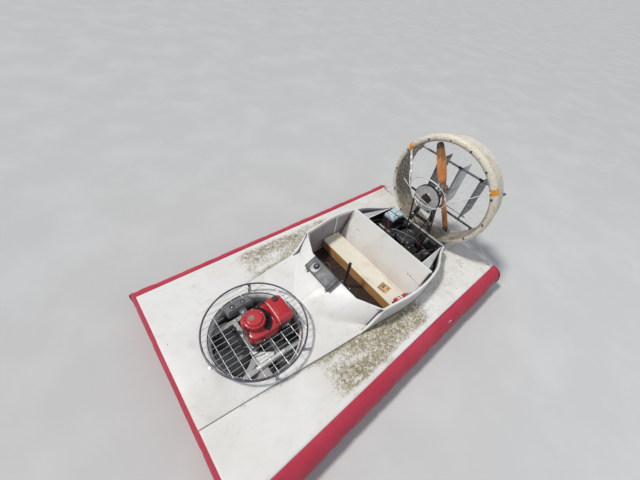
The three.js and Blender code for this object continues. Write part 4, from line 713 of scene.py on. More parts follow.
def seat():
    p = Piece("fine_seat_base")
    ends = [(.588, 1.992), (.598, 2.10), (.600, 2.140), (.596, 2.19), (.588, 2.236)]
    p.slab(ends + [(-x, s) for x, s in ends][::-1], FLOOR + .0006, SEAT_Z, "ply_edge", .0012, side="ply")
    for x in (-.50, -.25, 0, .25, .50):
        for z in (FLOOR + .022, SEAT_Z - .018): p.screw(P(x, 1.992, z), (0, -1, 0), .0038, "steel")
    for x in (-.36, .12, .46): p.bar(P(x, 1.9915, FLOOR + .002), P(x, 1.9915, SEAT_Z - .002), .0022, .0008, "umber", (0, -1, 0), .0003)
    p.box(-.58, .58, 1.985, 1.992, FLOOR + .001, FLOOR + .013, "timber", .002)
    p.make("craft", "plywood", ("seat_base",))
    p = Piece("fine_seat_top"); ends = [(.588, 1.984), (.598, 2.07), (.602, 2.140), (.598, 2.19), (.590, 2.228)]
    notch = [(.275, 2.030), (.385, 2.045), (.372, 2.150), (.262, 2.135)]
    p.slab(ends + [(-x, s) for x, s in ends][::-1], SEAT_Z + .0004, SEAT_Z + .016, "seat", .0022, [notch], side="ply_edge")
    for x in (-.55, -.3, -.05, .2, .45): p.screw(P(x, 2.00, SEAT_Z + .016), (0, 0, 1), .004, "steel")
    p.bar(P(.573, 1.992, SEAT_Z + .0185), P(.560, 2.225, SEAT_Z + .0185), .006, .006, "umber", r=.001)          # edge strip by the seat's end
    p.make("craft", "seat_cream", ("seat_top",))
    p = Piece("seat_notch_blocks")                                            # battens under the cut-out
    p.obox(P(.322, 2.060, SEAT_Z + .005), (1, .12, 0), (0, 1, 0), (.070, .018, .009), "ply", .0015)
    p.obox(P(.298, 2.110, SEAT_Z + .004), (1, .12, 0), (0, 1, 0), (.030, .042, .007), "timber", .0015)
    p.obox(P(.350, 2.120, SEAT_Z + .004), (1, .12, 0), (0, 1, 0), (.020, .036, .007), "ply", .0015)
    p.make("craft")
    p = Piece("fine_seat_back"); T = .0178
    a, b = P(.588, 2.2425, FLOOR + .0006), P(-.588, 2.2425, FLOOR + .0006); c, d = P(-.570, 2.4205, DK + .252), P(.570, 2.4205, DK + .252)
    p.panel((a, b, c, d), T, "deck", 8, 5, .0025)
    nrm = (b - a).cross(d - a).normalized(); nrm = nrm if nrm.y < 0 else -nrm
    def f(x, z): t = (z - FLOOR) / (DK + .252 - FLOOR); return P(x, lerp(2.2425, 2.4205, t), z) + nrm * .0004
    for x in (.388, .419): p.screw(f(x, DK + .080), nrm, .0072, "bolt")
    for x in (-.388, -.419): p.screw(f(x, DK + .080), nrm, .0060, "bolt")
    p.bar(f(.430, DK + .076), f(.572, DK + .062), .0022, .0014, "bolt", nrm, .0004)
    for x in (-.50, -.30, -.10, .10, .30, .50): p.screw(f(x, SEAT_Z + .035), nrm, .0034, "steel")
    p.bar(P(-.568, 2.4305, DK + .2535), P(.568, 2.4305, DK + .2535), .020, .004, "deck", r=.0018)
    for k in (1, -1):                                                          # closing strips at both ends, with the dark gap
        p.bar(f(k * .5765, SEAT_Z + .03), f(k * .566, DK + .245), .014, .005, "umber" if k > 0 else "deck", nrm, .0015)
    p.make("craft", "deck_white", ("seat_back",))
    # pale board between the seat's end and the port coaming, under the extinguisher
    for k in (1, -1):
        q = Piece("seat_end_board_" + ("port" if k > 0 else "starboard"))
        q.panel((P(k * .560, 2.000, SEAT_Z + .0165), P(k * .596, 2.000, SEAT_Z + .0165), P(k * .590, 2.225, SEAT_Z + .0165), P(k * .560, 2.225, SEAT_Z + .0165)), .004 * k, "seat", 1, 3, .0012)
        q.panel((P(k * .5635, 2.262, SEAT_Z + .03), P(k * .5700, 2.262, SEAT_Z + .03), P(k * .5640, 2.405, DK + .225), P(k * .5575, 2.405, DK + .225)), .010, "inner", 1, 3, .0015)
        q.make("craft")
seat()

def extinguisher():
    p = Piece("fine_extinguisher"); a, b = P(.524, 2.010, SEAT_Z + .062), P(.558, 2.200, SEAT_Z + .074); u = (b - a).normalized(); L = (b - a).length
    X = u.cross(Vector((0, 0, 1))).normalized(); Z = X.cross(u)
    R = .0395
    dome = [(0, 0), (.014, .0012), (.027, .006), (.036, .014), (R, .026)]
    p.lathe(dome + [(R, .030)], a, u, "red", 36)
    p.lathe([(R, .030), (R + .0006, .031), (R + .0006, .038), (R, .039)], a, u, "red", 36)
    p.lathe([(R, .039), (R + .0005, .040), (R + .0005, .094), (R, .095)], a, u, "white", 36)
    p.lathe([(R + .0009, .044), (R + .0011, .0445), (R + .0011, .0525), (R + .0009, .053)], a, u, "red", 36)
    p.lathe([(R, .095), (R, .152), (R - .003, .166), (.030, .178), (.018, .186), (.018, .193), (0, .194)], a, u, "red", 36)
    # valve with its lever pair, gauge, nozzle and pin
    v = a + u * .190
    p.drum(v, v + u * .022, .0135, "steel", 20, .002)
    p.obox(v + u * .018, X, u, (.022, .020, .026), "plastic", .004, 3)
    p.obox(v + u * .012 + Z * .020 - u * .020, X, (u * 1.0 + Z * .12), (.016, .072, .005), "bolt", .0015, 2)
    p.obox(v + u * .012 + Z * .030 - u * .026, X, (u * 1.0 + Z * .25), (.016, .078, .005), "steel", .0015, 2)
    p.drum(v + X * .010 + u * .010, v + X * .024 + u * .010, .011, "palegrey", 20, .0015)
    p.drum(v - X * .010 + u * .012, v - X * .030 + u * .006, .007, "plastic", 16, .001)
    p.tube(ring_pts(v + Z * .026 + u * .004, .009, 16, "y"), .0012, "steel", 6, closed=True)
    p.lathe([(0, 0), (.010, .002), (.017, .006), (.0175, .014), (0, .016)], a - u * .0245, u, "plastic", 24)            # foot boss
    # clamp straps, their buckle and the saddle
    for t in (.070, .145):
        c = a + u * t
        p.lathe([(R + .0002, -.007), (R + .0022, -.007), (R + .0026, 0), (R + .0022, .007), (R + .0002, .007)], c, u, "bolt", 36)
        p.obox(c + Z * (R + .004), X, u, (.020, .016, .007), "steel", .0015, 2)
        p.obox(P(0, 0, 0) * 0 + c - Z * (R * .5) + X * 0, X, u, (.058, .016, .046), "black", .003, 2)
    p.obox(P(.532, 2.105, SEAT_Z + .0265), (1, 0, 0), (.17, 1, 0), (.070, .150, .014), "black", .003, 2)
    p.make("craft", "engine_red", ("extinguisher",))
extinguisher()

def stick():
    p = Piece("fine_steering_stick"); o = P(0, 1.810, 0)
    def h(z): return o + Vector((0, 0, z))
    p.tube([h(.1785), h(.25), h(.36), h(.470)], .0108, "black", 18)
    p.lathe([(.0105, .440), (.0155, .441), (.0168, .447), (.0158, .453)], o, (0, 0, 1), "rubber", 24)
    for i in range(9):
        z = .455 + .0108 * i; p.lathe([(.0150, z), (.0168, z + .0018), (.0168, z + .0068), (.0150, z + .0088), (.0148, z + .0108)], o, (0, 0, 1), "rubber", 24)
    p.lathe([(.0150, .550), (.0168, .553), (.0166, .558), (.0125, .5615), (0, .562)], o, (0, 0, 1), "rubber", 24)
    p.obox(h(.196), (1, 0, 0), (0, 1, 0), (.030, .034, .034), "black", .003, 2)
    p.drum(h(.196) + Vector((0, -.023, 0)), h(.196) + Vector((0, .023, 0)), .0060, "steel", 16)
    for sgn in (1, -1): p.bolt(h(.196) + Vector((0, sgn * .021, 0)), (0, sgn, 0), .006, "steel")
    for z in (.240, .300): p.lathe([(.0108, z - .006), (.0145, z - .005), (.0145, z + .005), (.0108, z + .006)], o, (0, 0, 1), "bolt", 20)
    p.tube(catmull([h(.300) + Vector((.013, 0, 0)), h(.36) + Vector((.016, .002, 0)), h(.43) + Vector((.0165, .002, 0)), h(.455) + Vector((.0150, .002, 0))], 5), .0024, "rubber", 8)
    p.make("steering_lever", "engine_black", ("steering_stick",))
stick()

# ---------------------------------------------------------------- thrust engine and its bay
def tightest(path):
    out = 9.0
    for a, b, c in zip(path, path[2:], path[4:]):
        u, v, w = (b - a), (c - b), (c - a); area = u.cross(v).length
        if area > 1e-12: out = min(out, u.length * v.length * w.length / (2 * area))
    return out
def eased(path, radius):
    """The same route with its corners eased; both ends stay where they are."""
    for turn in range(500):
        if turn > 5 and tightest(path) > radius: break
        path = [path[0]] + [(a + c) * .25 + b * .5 for a, b, c in zip(path, path[1:], path[2:])] + [path[-1]]
    return path
def lead(name, pts, r, mat, n=8, k=8, ends=None):
    """A free cable or hose that comes out of one part and goes into another."""
    path = eased(catmull(pts, k), 9.6 * r); p = Piece(name); p.tube(path, r, mat, n)
    for i, cap in enumerate(ends or ()):
        if not cap: continue
        cap, size = cap; a, b = (path[0], path[1]) if i == 0 else (path[-1], path[-2]); u = (b - a).normalized()
        p.drum(a - u * size * .3, a + u * size, r * 1.7, cap, 14, .0006)
    ob = p.make("craft"); L = sum((b - a).length for a, b in zip(path, path[1:]))
    tuple(path[0])
    [tuple(q) for q in path]
    return ob
def console_point(x, y, z): return on_cowl(-.070, 1.490, .040) + Vector((x, 0, 0)) + CY * y + CZ * z
lead("console_loop_brown", [console_point(*q) for q in ((-.062, .074, .006), (-.056, .094, .018), (-.034, .112, .025), (-.004, .112, .020), (.018, .096, .006), (.024, .076, -.010))], .0032, "brown", 10)
lead("console_lead_black", [console_point(*q) for q in ((-.092, .074, .004), (-.096, .092, .010), (-.098, .108, .004), (-.096, .118, -.014), (-.088, .120, -.038))], .0024, "plastic", 8)
def engine():
    p = Piece("fine_thrust_engine"); Xa, Ya = (1, 0, 0), (0, 1, 0)
    p.box(-.118, .150, 2.548, 2.806, .193, .322, "cast", .010, 3)                      # crankcase with its parting flange
    p.box(-.126, .158, 2.540, 2.814, .296, .306, "cast", .002, 2)
    for s in (2.548, 2.590, 2.680, 2.770, 2.806):
        for x in (-.121, .153): p.bolt(P(x, s, .306), (0, 0, 1), .0042, "steel", h=.006)
    p.box(-.096, .128, 2.806, 2.836, .215, .395, "cast", .008, 3)                      # end housing round the shaft
    for i in range(8):
        a = 2 * math.pi * i / 8; p.bolt(P(.050 * math.cos(a), 2.836, .400 + .050 * math.sin(a) * .8 - .03), (0, 1, 0), .0042, "steel")
    for cx in (-.098, .140):                                                            # two finned barrels lying outwards
        for i in range(13):
            z = .324 + i * .0105; w = .062 if i < 10 else .054
            p.box(cx - w, cx + w, 2.570 + .004 * (i % 2), 2.690 - .004 * (i % 2), z, z + .0042, "cast" if i % 3 else "soot", .0012, 1)
        p.drum(P(cx, 2.630, .322), P(cx, 2.630, .462), .040, "cast", 24, .003)
        p.box(cx - .040, cx + .040, 2.590, 2.672, .460, .478, "soot", .006, 3)
        for dx in (-.032, .032):
            for ds in (-.030, .034): p.bolt(P(cx + dx, 2.630 + ds, .478), (0, 0, 1), .0045, "steel", h=.005)
        p.drum(P(cx, 2.600, .470), P(cx, 2.592, .497), .0075, "white", 16, .001)
        p.drum(P(cx, 2.594, .490), P(cx, 2.588, .512), .0105, "rubber", 16, .002)
    p.box(-.238, -.165, 2.545, 2.665, .292, .395, "soot", .012, 3)                      # intake box with its louvres
    for i in range(7): p.box(-.2385, -.170, 2.556 + i * .015, 2.562 + i * .015, .394, .3985, "black", .0008, 1)
    p.box(-.215, -.175, 2.575, 2.640, .398, .438, "alu", .006, 3); p.drum(P(-.195, 2.607, .436), P(-.195, 2.607, .444), .017, "bolt", 20)
    p.drum(P(-.170, 2.607, .418), P(-.130, 2.612, .404), .016, "rubber", 18, .002)
    # exhaust: two stubs into one can that lies across the bay
    for cx in (-.07, .12): p.tube(catmull([P(cx, 2.690, .400), P(cx, 2.724, .398), P(cx * .9, 2.748, .372), P(cx * .8, 2.752, .330)], 6), .0165, "umber", 14)
    p.lathe([(0, -.160), (.030, -.158), (.040, -.150), (.042, -.140), (.042, .140), (.040, .150), (.030, .158), (0, .160)], P(.01, 2.756, .352), Xa, "soot", 28)
    for x in (-.12, .14): p.lathe([(.0425, -.006), (.0445, -.005), (.0445, .005), (.0425, .006)], P(x, 2.756, .352), Xa, "steel", 28)
    # starter, coil, regulator, oil filter
    p.drum(P(.182, 2.560, .270), P(.182, 2.700, .270), .0165, "black", 22, .004); p.drum(P(.182, 2.552, .270), P(.182, 2.562, .270), .012, "steel", 18, .002)
    p.box(.160, .198, 2.720, 2.790, .300, .352, "alu", .003, 2)
    for i in range(9): p.box(.158, .1995, 2.724 + i * .0075, 2.7265 + i * .0075, .352, .361, "alu", .0006, 1)
    p.lathe([(0, 0), (.026, .002), (.030, .008), (.030, .052), (.024, .060), (0, .062)], P(-.030, 2.524, .240), (0, 1, 0), "soot", 26)
    p.box(.030, .105, 2.700, 2.742, .300, .345, "soot", .006, 2); p.box(-.165, -.128, 2.700, 2.770, .300, .360, "plastic", .004, 2)
    for x in (-.15, -.14): p.drum(P(x, 2.700, .345), P(x, 2.694, .345), .004, "steel", 10)
    # shaft and its collar
    p.drum(P(0, 2.820, .400), P(0, 2.8425, .400), .0235, "steel", 24, .002); p.drum(P(0, 2.826, .400), P(0, 2.834, .400), .031, "soot", 24, .002)
    for k in (-1, 1):
        for s in (2.600, 2.780):
            p.drum(P(k * .155, s, .1925), P(k * .155, s, .216), .015, "rubber", 18, .003); p.box(k * .155 - .022, k * .155 + .022, s - .020, s + .020, .214, .220, "black", .001)
            p.bolt(P(k * .155, s, .220), (0, 0, 1), .0055, "steel")
    p.make("craft", "painted_steel", ("thrust_engine",))
    # round cover: louvred dome with a rim band and a bent stay over it
    c = Piece("fine_engine_cover"); o = P(.050, 2.686, 0)
    c.lathe([(.1135, .4805), (.114, .484), (.114, .496), (.1115, .4985), (.110, .5015), (.107, .509), (.099, .520), (.086, .528), (.070, .5325), (.048, .5345), (0, .535)], o, (0, 0, 1), "soot", 72)
    c.lathe([(.1138, .4865), (.1146, .488), (.1146, .492), (.1138, .4935)], o, (0, 0, 1), "black", 72)
    for i in range(26):
        a = 2 * math.pi * i / 26; u = Vector((math.cos(a), math.sin(a), 0)); v = Vector((-u.y, u.x, 0))
        c.bar(o + u * .052 + Vector((0, 0, .5345)), o + u * .093 + Vector((0, 0, .5255)), .0042, .0028, "black", (0, 0, 1), .001)
    c.lathe([(0, .5345), (.030, .5345), (.032, .5358), (.030, .537), (.012, .5378), (0, .538)], o, (0, 0, 1), "black", 40)
    for i in range(4):
        a = math.pi * (i / 2 + .25); c.bolt(o + Vector((.105 * math.cos(a), .105 * math.sin(a), .5115)), (math.cos(a) * .6, math.sin(a) * .6, 1), .0045, "steel")
    c.make("craft", "engine_black", ("engine_cover",))
    t = Piece("bay_stays")                                                       # thin bright stays that cross over the cover
    t.tube(catmull([P(-.175, 2.600, .470), P(-.10, 2.62, .535), P(.02, 2.655, .551), P(.14, 2.70, .543), P(.205, 2.76, .470)], 8), .0028, "steel", 8)
    t.tube(catmull([P(.10, 2.540, .470), P(.085, 2.56, .532), P(.05, 2.66, .549), P(-.01, 2.77, .540), P(-.045, 2.815, .470)], 8), .0024, "steel", 8)
    t.bar(P(-.36, 2.47, .205), P(-.36, 2.92, .205), .022, .022, "black", r=.003); t.bar(P(.36, 2.47, .205), P(.33, 2.92, .205), .022, .022, "black", r=.003)
    for k in (-1, 1):
        for s in (2.52, 2.66, 2.80): t.bolt(P(k * (.36 if s < 2.7 else .35), s, .217), (0, 0, 1), .005, "steel")
    t.box(.225, .345, 2.500, 2.600, FLOOR + .001, .250, "soot", .010, 3); t.drum(P(.285, 2.550, .250), P(.285, 2.550, .262), .026, "bolt", 24, .003)      # small reservoir
    t.box(.240, .330, 2.655, 2.760, FLOOR + .001, .225, "grey", .006, 2); t.box(-.330, -.255, 2.500, 2.640, FLOOR + .001, .205, "soot", .006, 2)
    for i in range(6): t.box(.246 + i * .014, .254 + i * .014, 2.660, 2.755, .225, .233, "alu", .001, 1)
    for i in range(3): t.drum(P(-.315 + i * .022, 2.53, .205), P(-.315 + i * .022, 2.53, .222), .007, "brown" if i == 1 else "steel", 14, .001)
    t.bar(P(.21, 2.475, .300), P(.21, 2.475, .160), .018, .008, "alu", (0, 1, 0)); t.bar(P(-.27, 2.93, .30), P(.27, 2.93, .30), .024, .012, "black", (0, 1, 0))
    t.lathe([(0, 0), (.020, .001), (.024, .006), (.024, .040), (.018, .046), (0, .047)], P(-.285, 2.80, FLOOR + .002), (0, 0, 1), "palegrey", 24)
    # painted shade: the black tray and side liners are dark sheets laid on the bay floor and along the coaming's inner
    # faces; then the black boxes and pipes that fill both sides of the bay
    t.slab([(.350, 2.462), (.535, 2.470), (.520, 2.560), (.372, 2.925), (.20, 2.925), (.20, 2.462)], FLOOR + .0012, FLOOR + .0042, "soot", .001)
    t.slab([(-.350, 2.462), (-.535, 2.470), (-.520, 2.560), (-.372, 2.925), (-.20, 2.925), (-.20, 2.462)], FLOOR + .0012, FLOOR + .0042, "soot", .001)
    t.slab([(-.155, 2.455), (.155, 2.455), (.155, 2.930), (-.155, 2.930)], FLOOR + .0012, FLOOR + .0042, "soot", .001)
    for k in (-1, 1):
        for z0, z1 in ((FLOOR + .005, DK - .026), (DK + .002, DK + .150)):
            for a, b in ((2.500, 2.690), (2.694, 2.885)):
                t.panel((P(k * (inner(a) - .0245), a, z0), P(k * (inner(b) - .0245), b, z0), P(k * (inner(b) - .0245), b, z1), P(k * (inner(a) - .0245), a, z1)), .003 * k, "soot", 4, 1, .001)
    t.box(.372, .470, 2.520, 2.655, FLOOR + .006, .372, "plastic", .018, 4); t.box(.380, .462, 2.530, 2.645, .372, .380, "plastic", .003, 2); t.drum(P(.425, 2.560, .378), P(.425, 2.560, .398), .021, "bolt", 24, .003)
    for i in range(5): t.box(.3705, .3725, 2.540 + .022 * i, 2.550 + .022 * i, .190, .340, "plastic", .0008, 1)
    t.box(.240, .350, 2.640, 2.780, .235, .330, "soot", .008, 3); t.box(.262, .332, 2.660, 2.760, .330, .352, "black", .004, 2)
    for i in range(4): t.drum(P(.272 + .017 * i, 2.675, .350), P(.272 + .017 * i, 2.675, .362), .005, "steel", 12, .001)
    t.box(.345, .420, 2.700, 2.800, FLOOR + .006, .300, "grey", .008, 2); t.drum(P(.382, 2.735, .298), P(.382, 2.735, .330), .028, "bolt", 26, .004); t.drum(P(.382, 2.735, .330), P(.382, 2.735, .338), .012, "steel", 18, .002)
    t.box(.225, .330, 2.815, 2.905, FLOOR + .006, .330, "soot", .008, 3); t.box(.240, .316, 2.830, 2.890, .330, .341, "grey", .003, 2)
    t.tube(catmull([P(.215, 2.500, .330), P(.25, 2.52, .395), P(.30, 2.58, .425), P(.335, 2.66, .420), P(.345, 2.74, .385), P(.330, 2.80, .330)], 8), .0120, "soot", 16)
    t.tube(catmull([P(.470, 2.560, .330), P(.445, 2.64, .400), P(.400, 2.74, .405), P(.360, 2.82, .370), P(.320, 2.87, .330)], 8), .0085, "plastic", 14)
    t.tube(catmull([P(.215, 2.585, .345), P(.262, 2.600, .392), P(.315, 2.62, .392), P(.372, 2.60, .350)], 8), .0060, "alu", 12)
    t.bar(P(.205, 2.470, .410), P(.330, 2.905, .410), .020, .004, "black"); t.bar(P(.205, 2.470, .404), P(.205, 2.470, FLOOR + .01), .020, .004, "black", (0, 1, 0))
    for x0, x1, z0, z1, m in ((.105, .175, .395, .482, "soot"), (.182, .222, .380, .470, "grey"), (.230, .330, .372, .486, "plastic"), (-.172, -.105, .360, .470, "soot"), (-.100, -.078, .430, .486, "alu"), (.338, .372, .360, .448, "soot")):
        t.box(x0, x1, 2.9050, 2.9440, z0, z1, m, .005, 3)
        for x in (x0 + .009, x1 - .009):
            for z in (z0 + .010, z1 - .010): t.screw(P(x, 2.9050, z), (0, -1, 0), .0034, "steel")
    for i in range(7): t.box(.238 + .0125 * i, .2445 + .0125 * i, 2.9015, 2.9060, .388, .470, "bolt", .0008, 1)
    for i, m in enumerate(("brown", "steel", "redwire", "plastic")): t.tube(catmull([P(.118 + .016 * i, 2.914, .396), P(.114 + .018 * i, 2.908, .350), P(.108 + .022 * i, 2.915, .300), P(.120 + .020 * i, 2.935, .255)], 6), .0032, m, 8)
    t.drum(P(.202, 2.892, .425), P(.202, 2.906, .425), .014, "steel", 22, .002); t.drum(P(-.138, 2.890, .420), P(-.138, 2.906, .420), .020, "bolt", 26, .003); t.drum(P(-.138, 2.884, .420), P(-.138, 2.892, .420), .008, "steel", 18, .001)
    t.bar(P(.085, 2.936, .3400), P(.386, 2.936, .3400), .016, .010, "black", (0, 1, 0)); t.bar(P(-.386, 2.936, .2700), P(-.085, 2.936, .2700), .016, .010, "black", (0, 1, 0))
    t.box(-.470, -.362, 2.515, 2.690, FLOOR + .006, .350, "plastic", .016, 4); t.drum(P(-.415, 2.570, .348), P(-.415, 2.570, .372), .023, "bolt", 24, .003)
    t.box(-.350, -.260, 2.650, 2.700, FLOOR + .006, .350, "soot", .006, 2); t.box(-.420, -.352, 2.700, 2.780, FLOOR + .006, .310, "grey", .008, 3)
    t.tube(catmull([P(-.240, 2.520, .330), P(-.28, 2.54, .395), P(-.33, 2.60, .412), P(-.385, 2.66, .372), P(-.400, 2.74, .310)], 8), .0095, "soot", 14)
    t.bar(P(-.245, 2.480, .395), P(-.245, 2.705, .395), .018, .004, "black"); t.bar(P(-.245, 2.480, .390), P(-.245, 2.480, FLOOR + .01), .018, .004, "black", (0, 1, 0))
    t.make("craft")
    finer("engine_rails", "black", .0022, 2, slot="painted_steel")
    f = Piece("rail_fixings")
    for x in (-.170, .170):
        for s in (2.50, 2.62, 2.80, 2.885): f.bolt(P(x, s, FLOOR + .0502 if s not in (2.62, 2.80) else FLOOR + .0502), (0, 0, 1), .006, "steel")
    f.make("craft")
    q = Piece("fine_engine_pulley"); a = P(0, PULLEY_S - .020, .400)
    q.lathe([(.0245, .001), (.030, 0), (.034, .002), (.036, .006), (.052, .006), (.0585, .001), (.060, .0035), (.060, .0365), (.0585, .039), (.050, .036), (.034, .034), (.032, .0395), (.0245, .040)], a, (0, 1, 0), "steel", 56, closed=True)
    for i in range(24):
        an = 2 * math.pi * i / 24; u = Vector((math.cos(an), 0, math.sin(an)))
        q.bar(a + u * .0600 + Vector((0, .005, 0)), a + u * .0600 + Vector((0, .035, 0)), .0035, .0008, "bolt", u, .0002)
    for i in range(4):
        an = math.pi * i / 2 + .4; q.bolt(a + Vector((.043 * math.cos(an), .0065, .043 * math.sin(an))), (0, -1, 0), .004, "bolt")
    q.make("engine_rotor", "dark_steel", ("engine_pulley",))
    b = Piece("fine_battery")
    b.box(-.345, -.190, 2.712, 2.915, .3702, .512, "plastic", .006, 3); b.box(-.3465, -.1885, 2.7105, 2.9165, .508, .520, "plastic", .003, 2)
    for i in range(5):
        b.box(-.3462, -.3445, 2.730 + i * .036, 2.744 + i * .036, .385, .500, "plastic", .0008, 1); b.box(-.190, -.1885, 2.730 + i * .036, 2.744 + i * .036, .385, .500, "plastic", .0008, 1)
    b.box(-.3400, -.1950, 2.7170, 2.9100, .519, .5610, "paleblue", .006, 3)
    b.box(-.3330, -.2020, 2.724, 2.903, .5605, .5635, "paleblue", .0012, 2)
    b.box(-.3402, -.1948, 2.7168, 2.9102, .5335, .5355, "white", .0006, 1)
    b.box(-.352, -.183, 2.800, 2.812, .5632, .5648, "bolt", .0006, 1)                    # hold-down strap
    for x in (-.350, -.185): b.box(x - .001, x + .001, 2.800, 2.812, .372, .564, "bolt", .0005, 1)
    for x, m in ((-.318, "redwire"), (-.216, "plastic")): b.drum(P(x, 2.735, .563), P(x, 2.735, .5685), .0085, "steel", 18, .001)
    b.make("craft", "battery_black", ("battery",))
    w = Piece("fine_bay_wall")
    w.panel((P(.3915, 2.9445, FLOOR), P(-.3915, 2.9445, FLOOR), P(-.3915, 2.9445, .5148), P(.3915, 2.9445, .5148)), .0150, "bay_wall_shade", 6, 3, .002)
    w.bar(P(-.389, 2.9522, .5130), P(.389, 2.9522, .5130), .0175, .0036, "deck", r=.0016)
    w.bar(P(-.388, 2.9440, .5050), P(.388, 2.9440, .5050), .0022, .018, "deck", (0, 0, 1), .0008)
    w.box(-.362, -.180, 2.700, 2.9435, DK + .024, DK + .0396, "palegrey", .002, 2)
    for x in (-.34, -.20):
        w.bar(P(x, 2.9430, DK + .020), P(x, 2.760, DK + .0235), .014, .005, "black"); w.bar(P(x, 2.9430, DK - .10), P(x, 2.770, DK + .020), .012, .005, "black")
    for x in (-.36, -.18, 0, .18, .36): w.screw(P(x, 2.9435, .498), (0, -1, 0), .0038, "steel")
    w.make("craft", "deck_white", ("bay_wall",))
    for side, k in (("port", 1), ("starboard", -1)):
        g = Piece("fine_bay_gusset_" + side); z0, z1 = DK + .1762, DK + .1836
        g.slab([(k * .4185, 2.4235), (k * .5470, 2.4235), (k * .4015, 2.8990), (k * .3925, 2.8990)], z0, z1, "palegrey", .0012)
        edge = [P(k * .4205, 2.4260, z1), P(k * .3950, 2.8960, z1)]
        g.bar(*edge, .010, .0032, "deck", r=.001); g.bar(P(k * .4200, 2.4285, z1), P(k * .5440, 2.4285, z1), .010, .0032, "deck", r=.001)
        g.bar(P(k * .5400, 2.4320, z1), P(k * .4020, 2.8960, z1), .011, .0028, "bolt", r=.001)
        for t in (.12, .5, .86): g.screw(lerp(edge[0], edge[1], t) + Vector((k * .012, 0, .0004)), (0, 0, 1), .0035, "steel")
        g.make("craft", "deck_white", ("bay_gusset_" + side,))
engine()
lead("battery_cable_rear", [P(-.216, 2.735, .5700), P(-.214, 2.742, .592), P(-.198, 2.765, .610), P(-.165, 2.80, .590), P(-.140, 2.83, .510), P(-.125, 2.86, .440), P(-.10, 2.875, .36)], .0030, "plastic", ends=(("steel", .006), None))
lead("battery_cable_front", [P(-.318, 2.735, .5700), P(-.314, 2.726, .592), P(-.288, 2.700, .604), P(-.240, 2.672, .575), P(-.205, 2.650, .500), P(-.196, 2.640, .442)], .0030, "redwire", ends=(("steel", .006), None))
lead("battery_lead_thin", [P(-.216, 2.740, .5690), P(-.222, 2.765, .5745), P(-.245, 2.800, .5755), P(-.268, 2.835, .5725), P(-.270, 2.880, .5715), P(-.262, 2.922, .556), P(-.262, 2.936, .520)], .0017, "plastic")
lead("bay_hose_port", [P(.200, 2.755, .335), P(.235, 2.720, .345), P(.262, 2.660, .320), P(.255, 2.590, .270), P(.225, 2.545, .215), P(.190, 2.530, .192)], .0065, "rubber", 12)
lead("bay_hose_aft", [P(.185, 2.822, .270), P(.19, 2.86, .30), P(.13, 2.885, .35), P(.06, 2.905, .365), P(-.05, 2.905, .355), P(-.13, 2.88, .31), P(-.155, 2.828, .270)], .0075, "rubber", 12)
lead("bay_hose_front", [P(-.205, 2.555, .385), P(-.225, 2.52, .36), P(-.265, 2.51, .31), P(-.275, 2.50, .25), P(-.235, 2.495, .205), P(-.190, 2.497, .190)], .0055, "brown", 12)
lead("ignition_lead_port", [P(.182, 2.735, .362), P(.202, 2.700, .43), P(.205, 2.650, .505), P(.188, 2.610, .552), P(.160, 2.588, .562), P(.143, 2.582, .540), P(.140, 2.590, .5115)], .0032, "rubber")
lead("ignition_lead_starboard", [P(-.150, 2.735, .362), P(-.178, 2.700, .44), P(-.178, 2.640, .51), P(-.150, 2.600, .555), P(-.118, 2.584, .560), P(-.100, 2.580, .538), P(-.098, 2.590, .5115)], .0032, "rubber")
lead("loom_yellow", [P(.196, 2.724, .350), P(.215, 2.715, .372), P(.235, 2.73, .36), P(.240, 2.77, .29), P(.215, 2.80, .215), P(.190, 2.80, .188)], .0018, "yellow", 6)
lead("throttle_cable", [P(-.186, 2.640, .430), P(-.20, 2.72, .50), P(-.165, 2.82, .575), P(-.10, 2.90, .600), P(-.055, 2.955, .605), P(-.050, 2.9795, .601)], .0026, "bolt", 8)

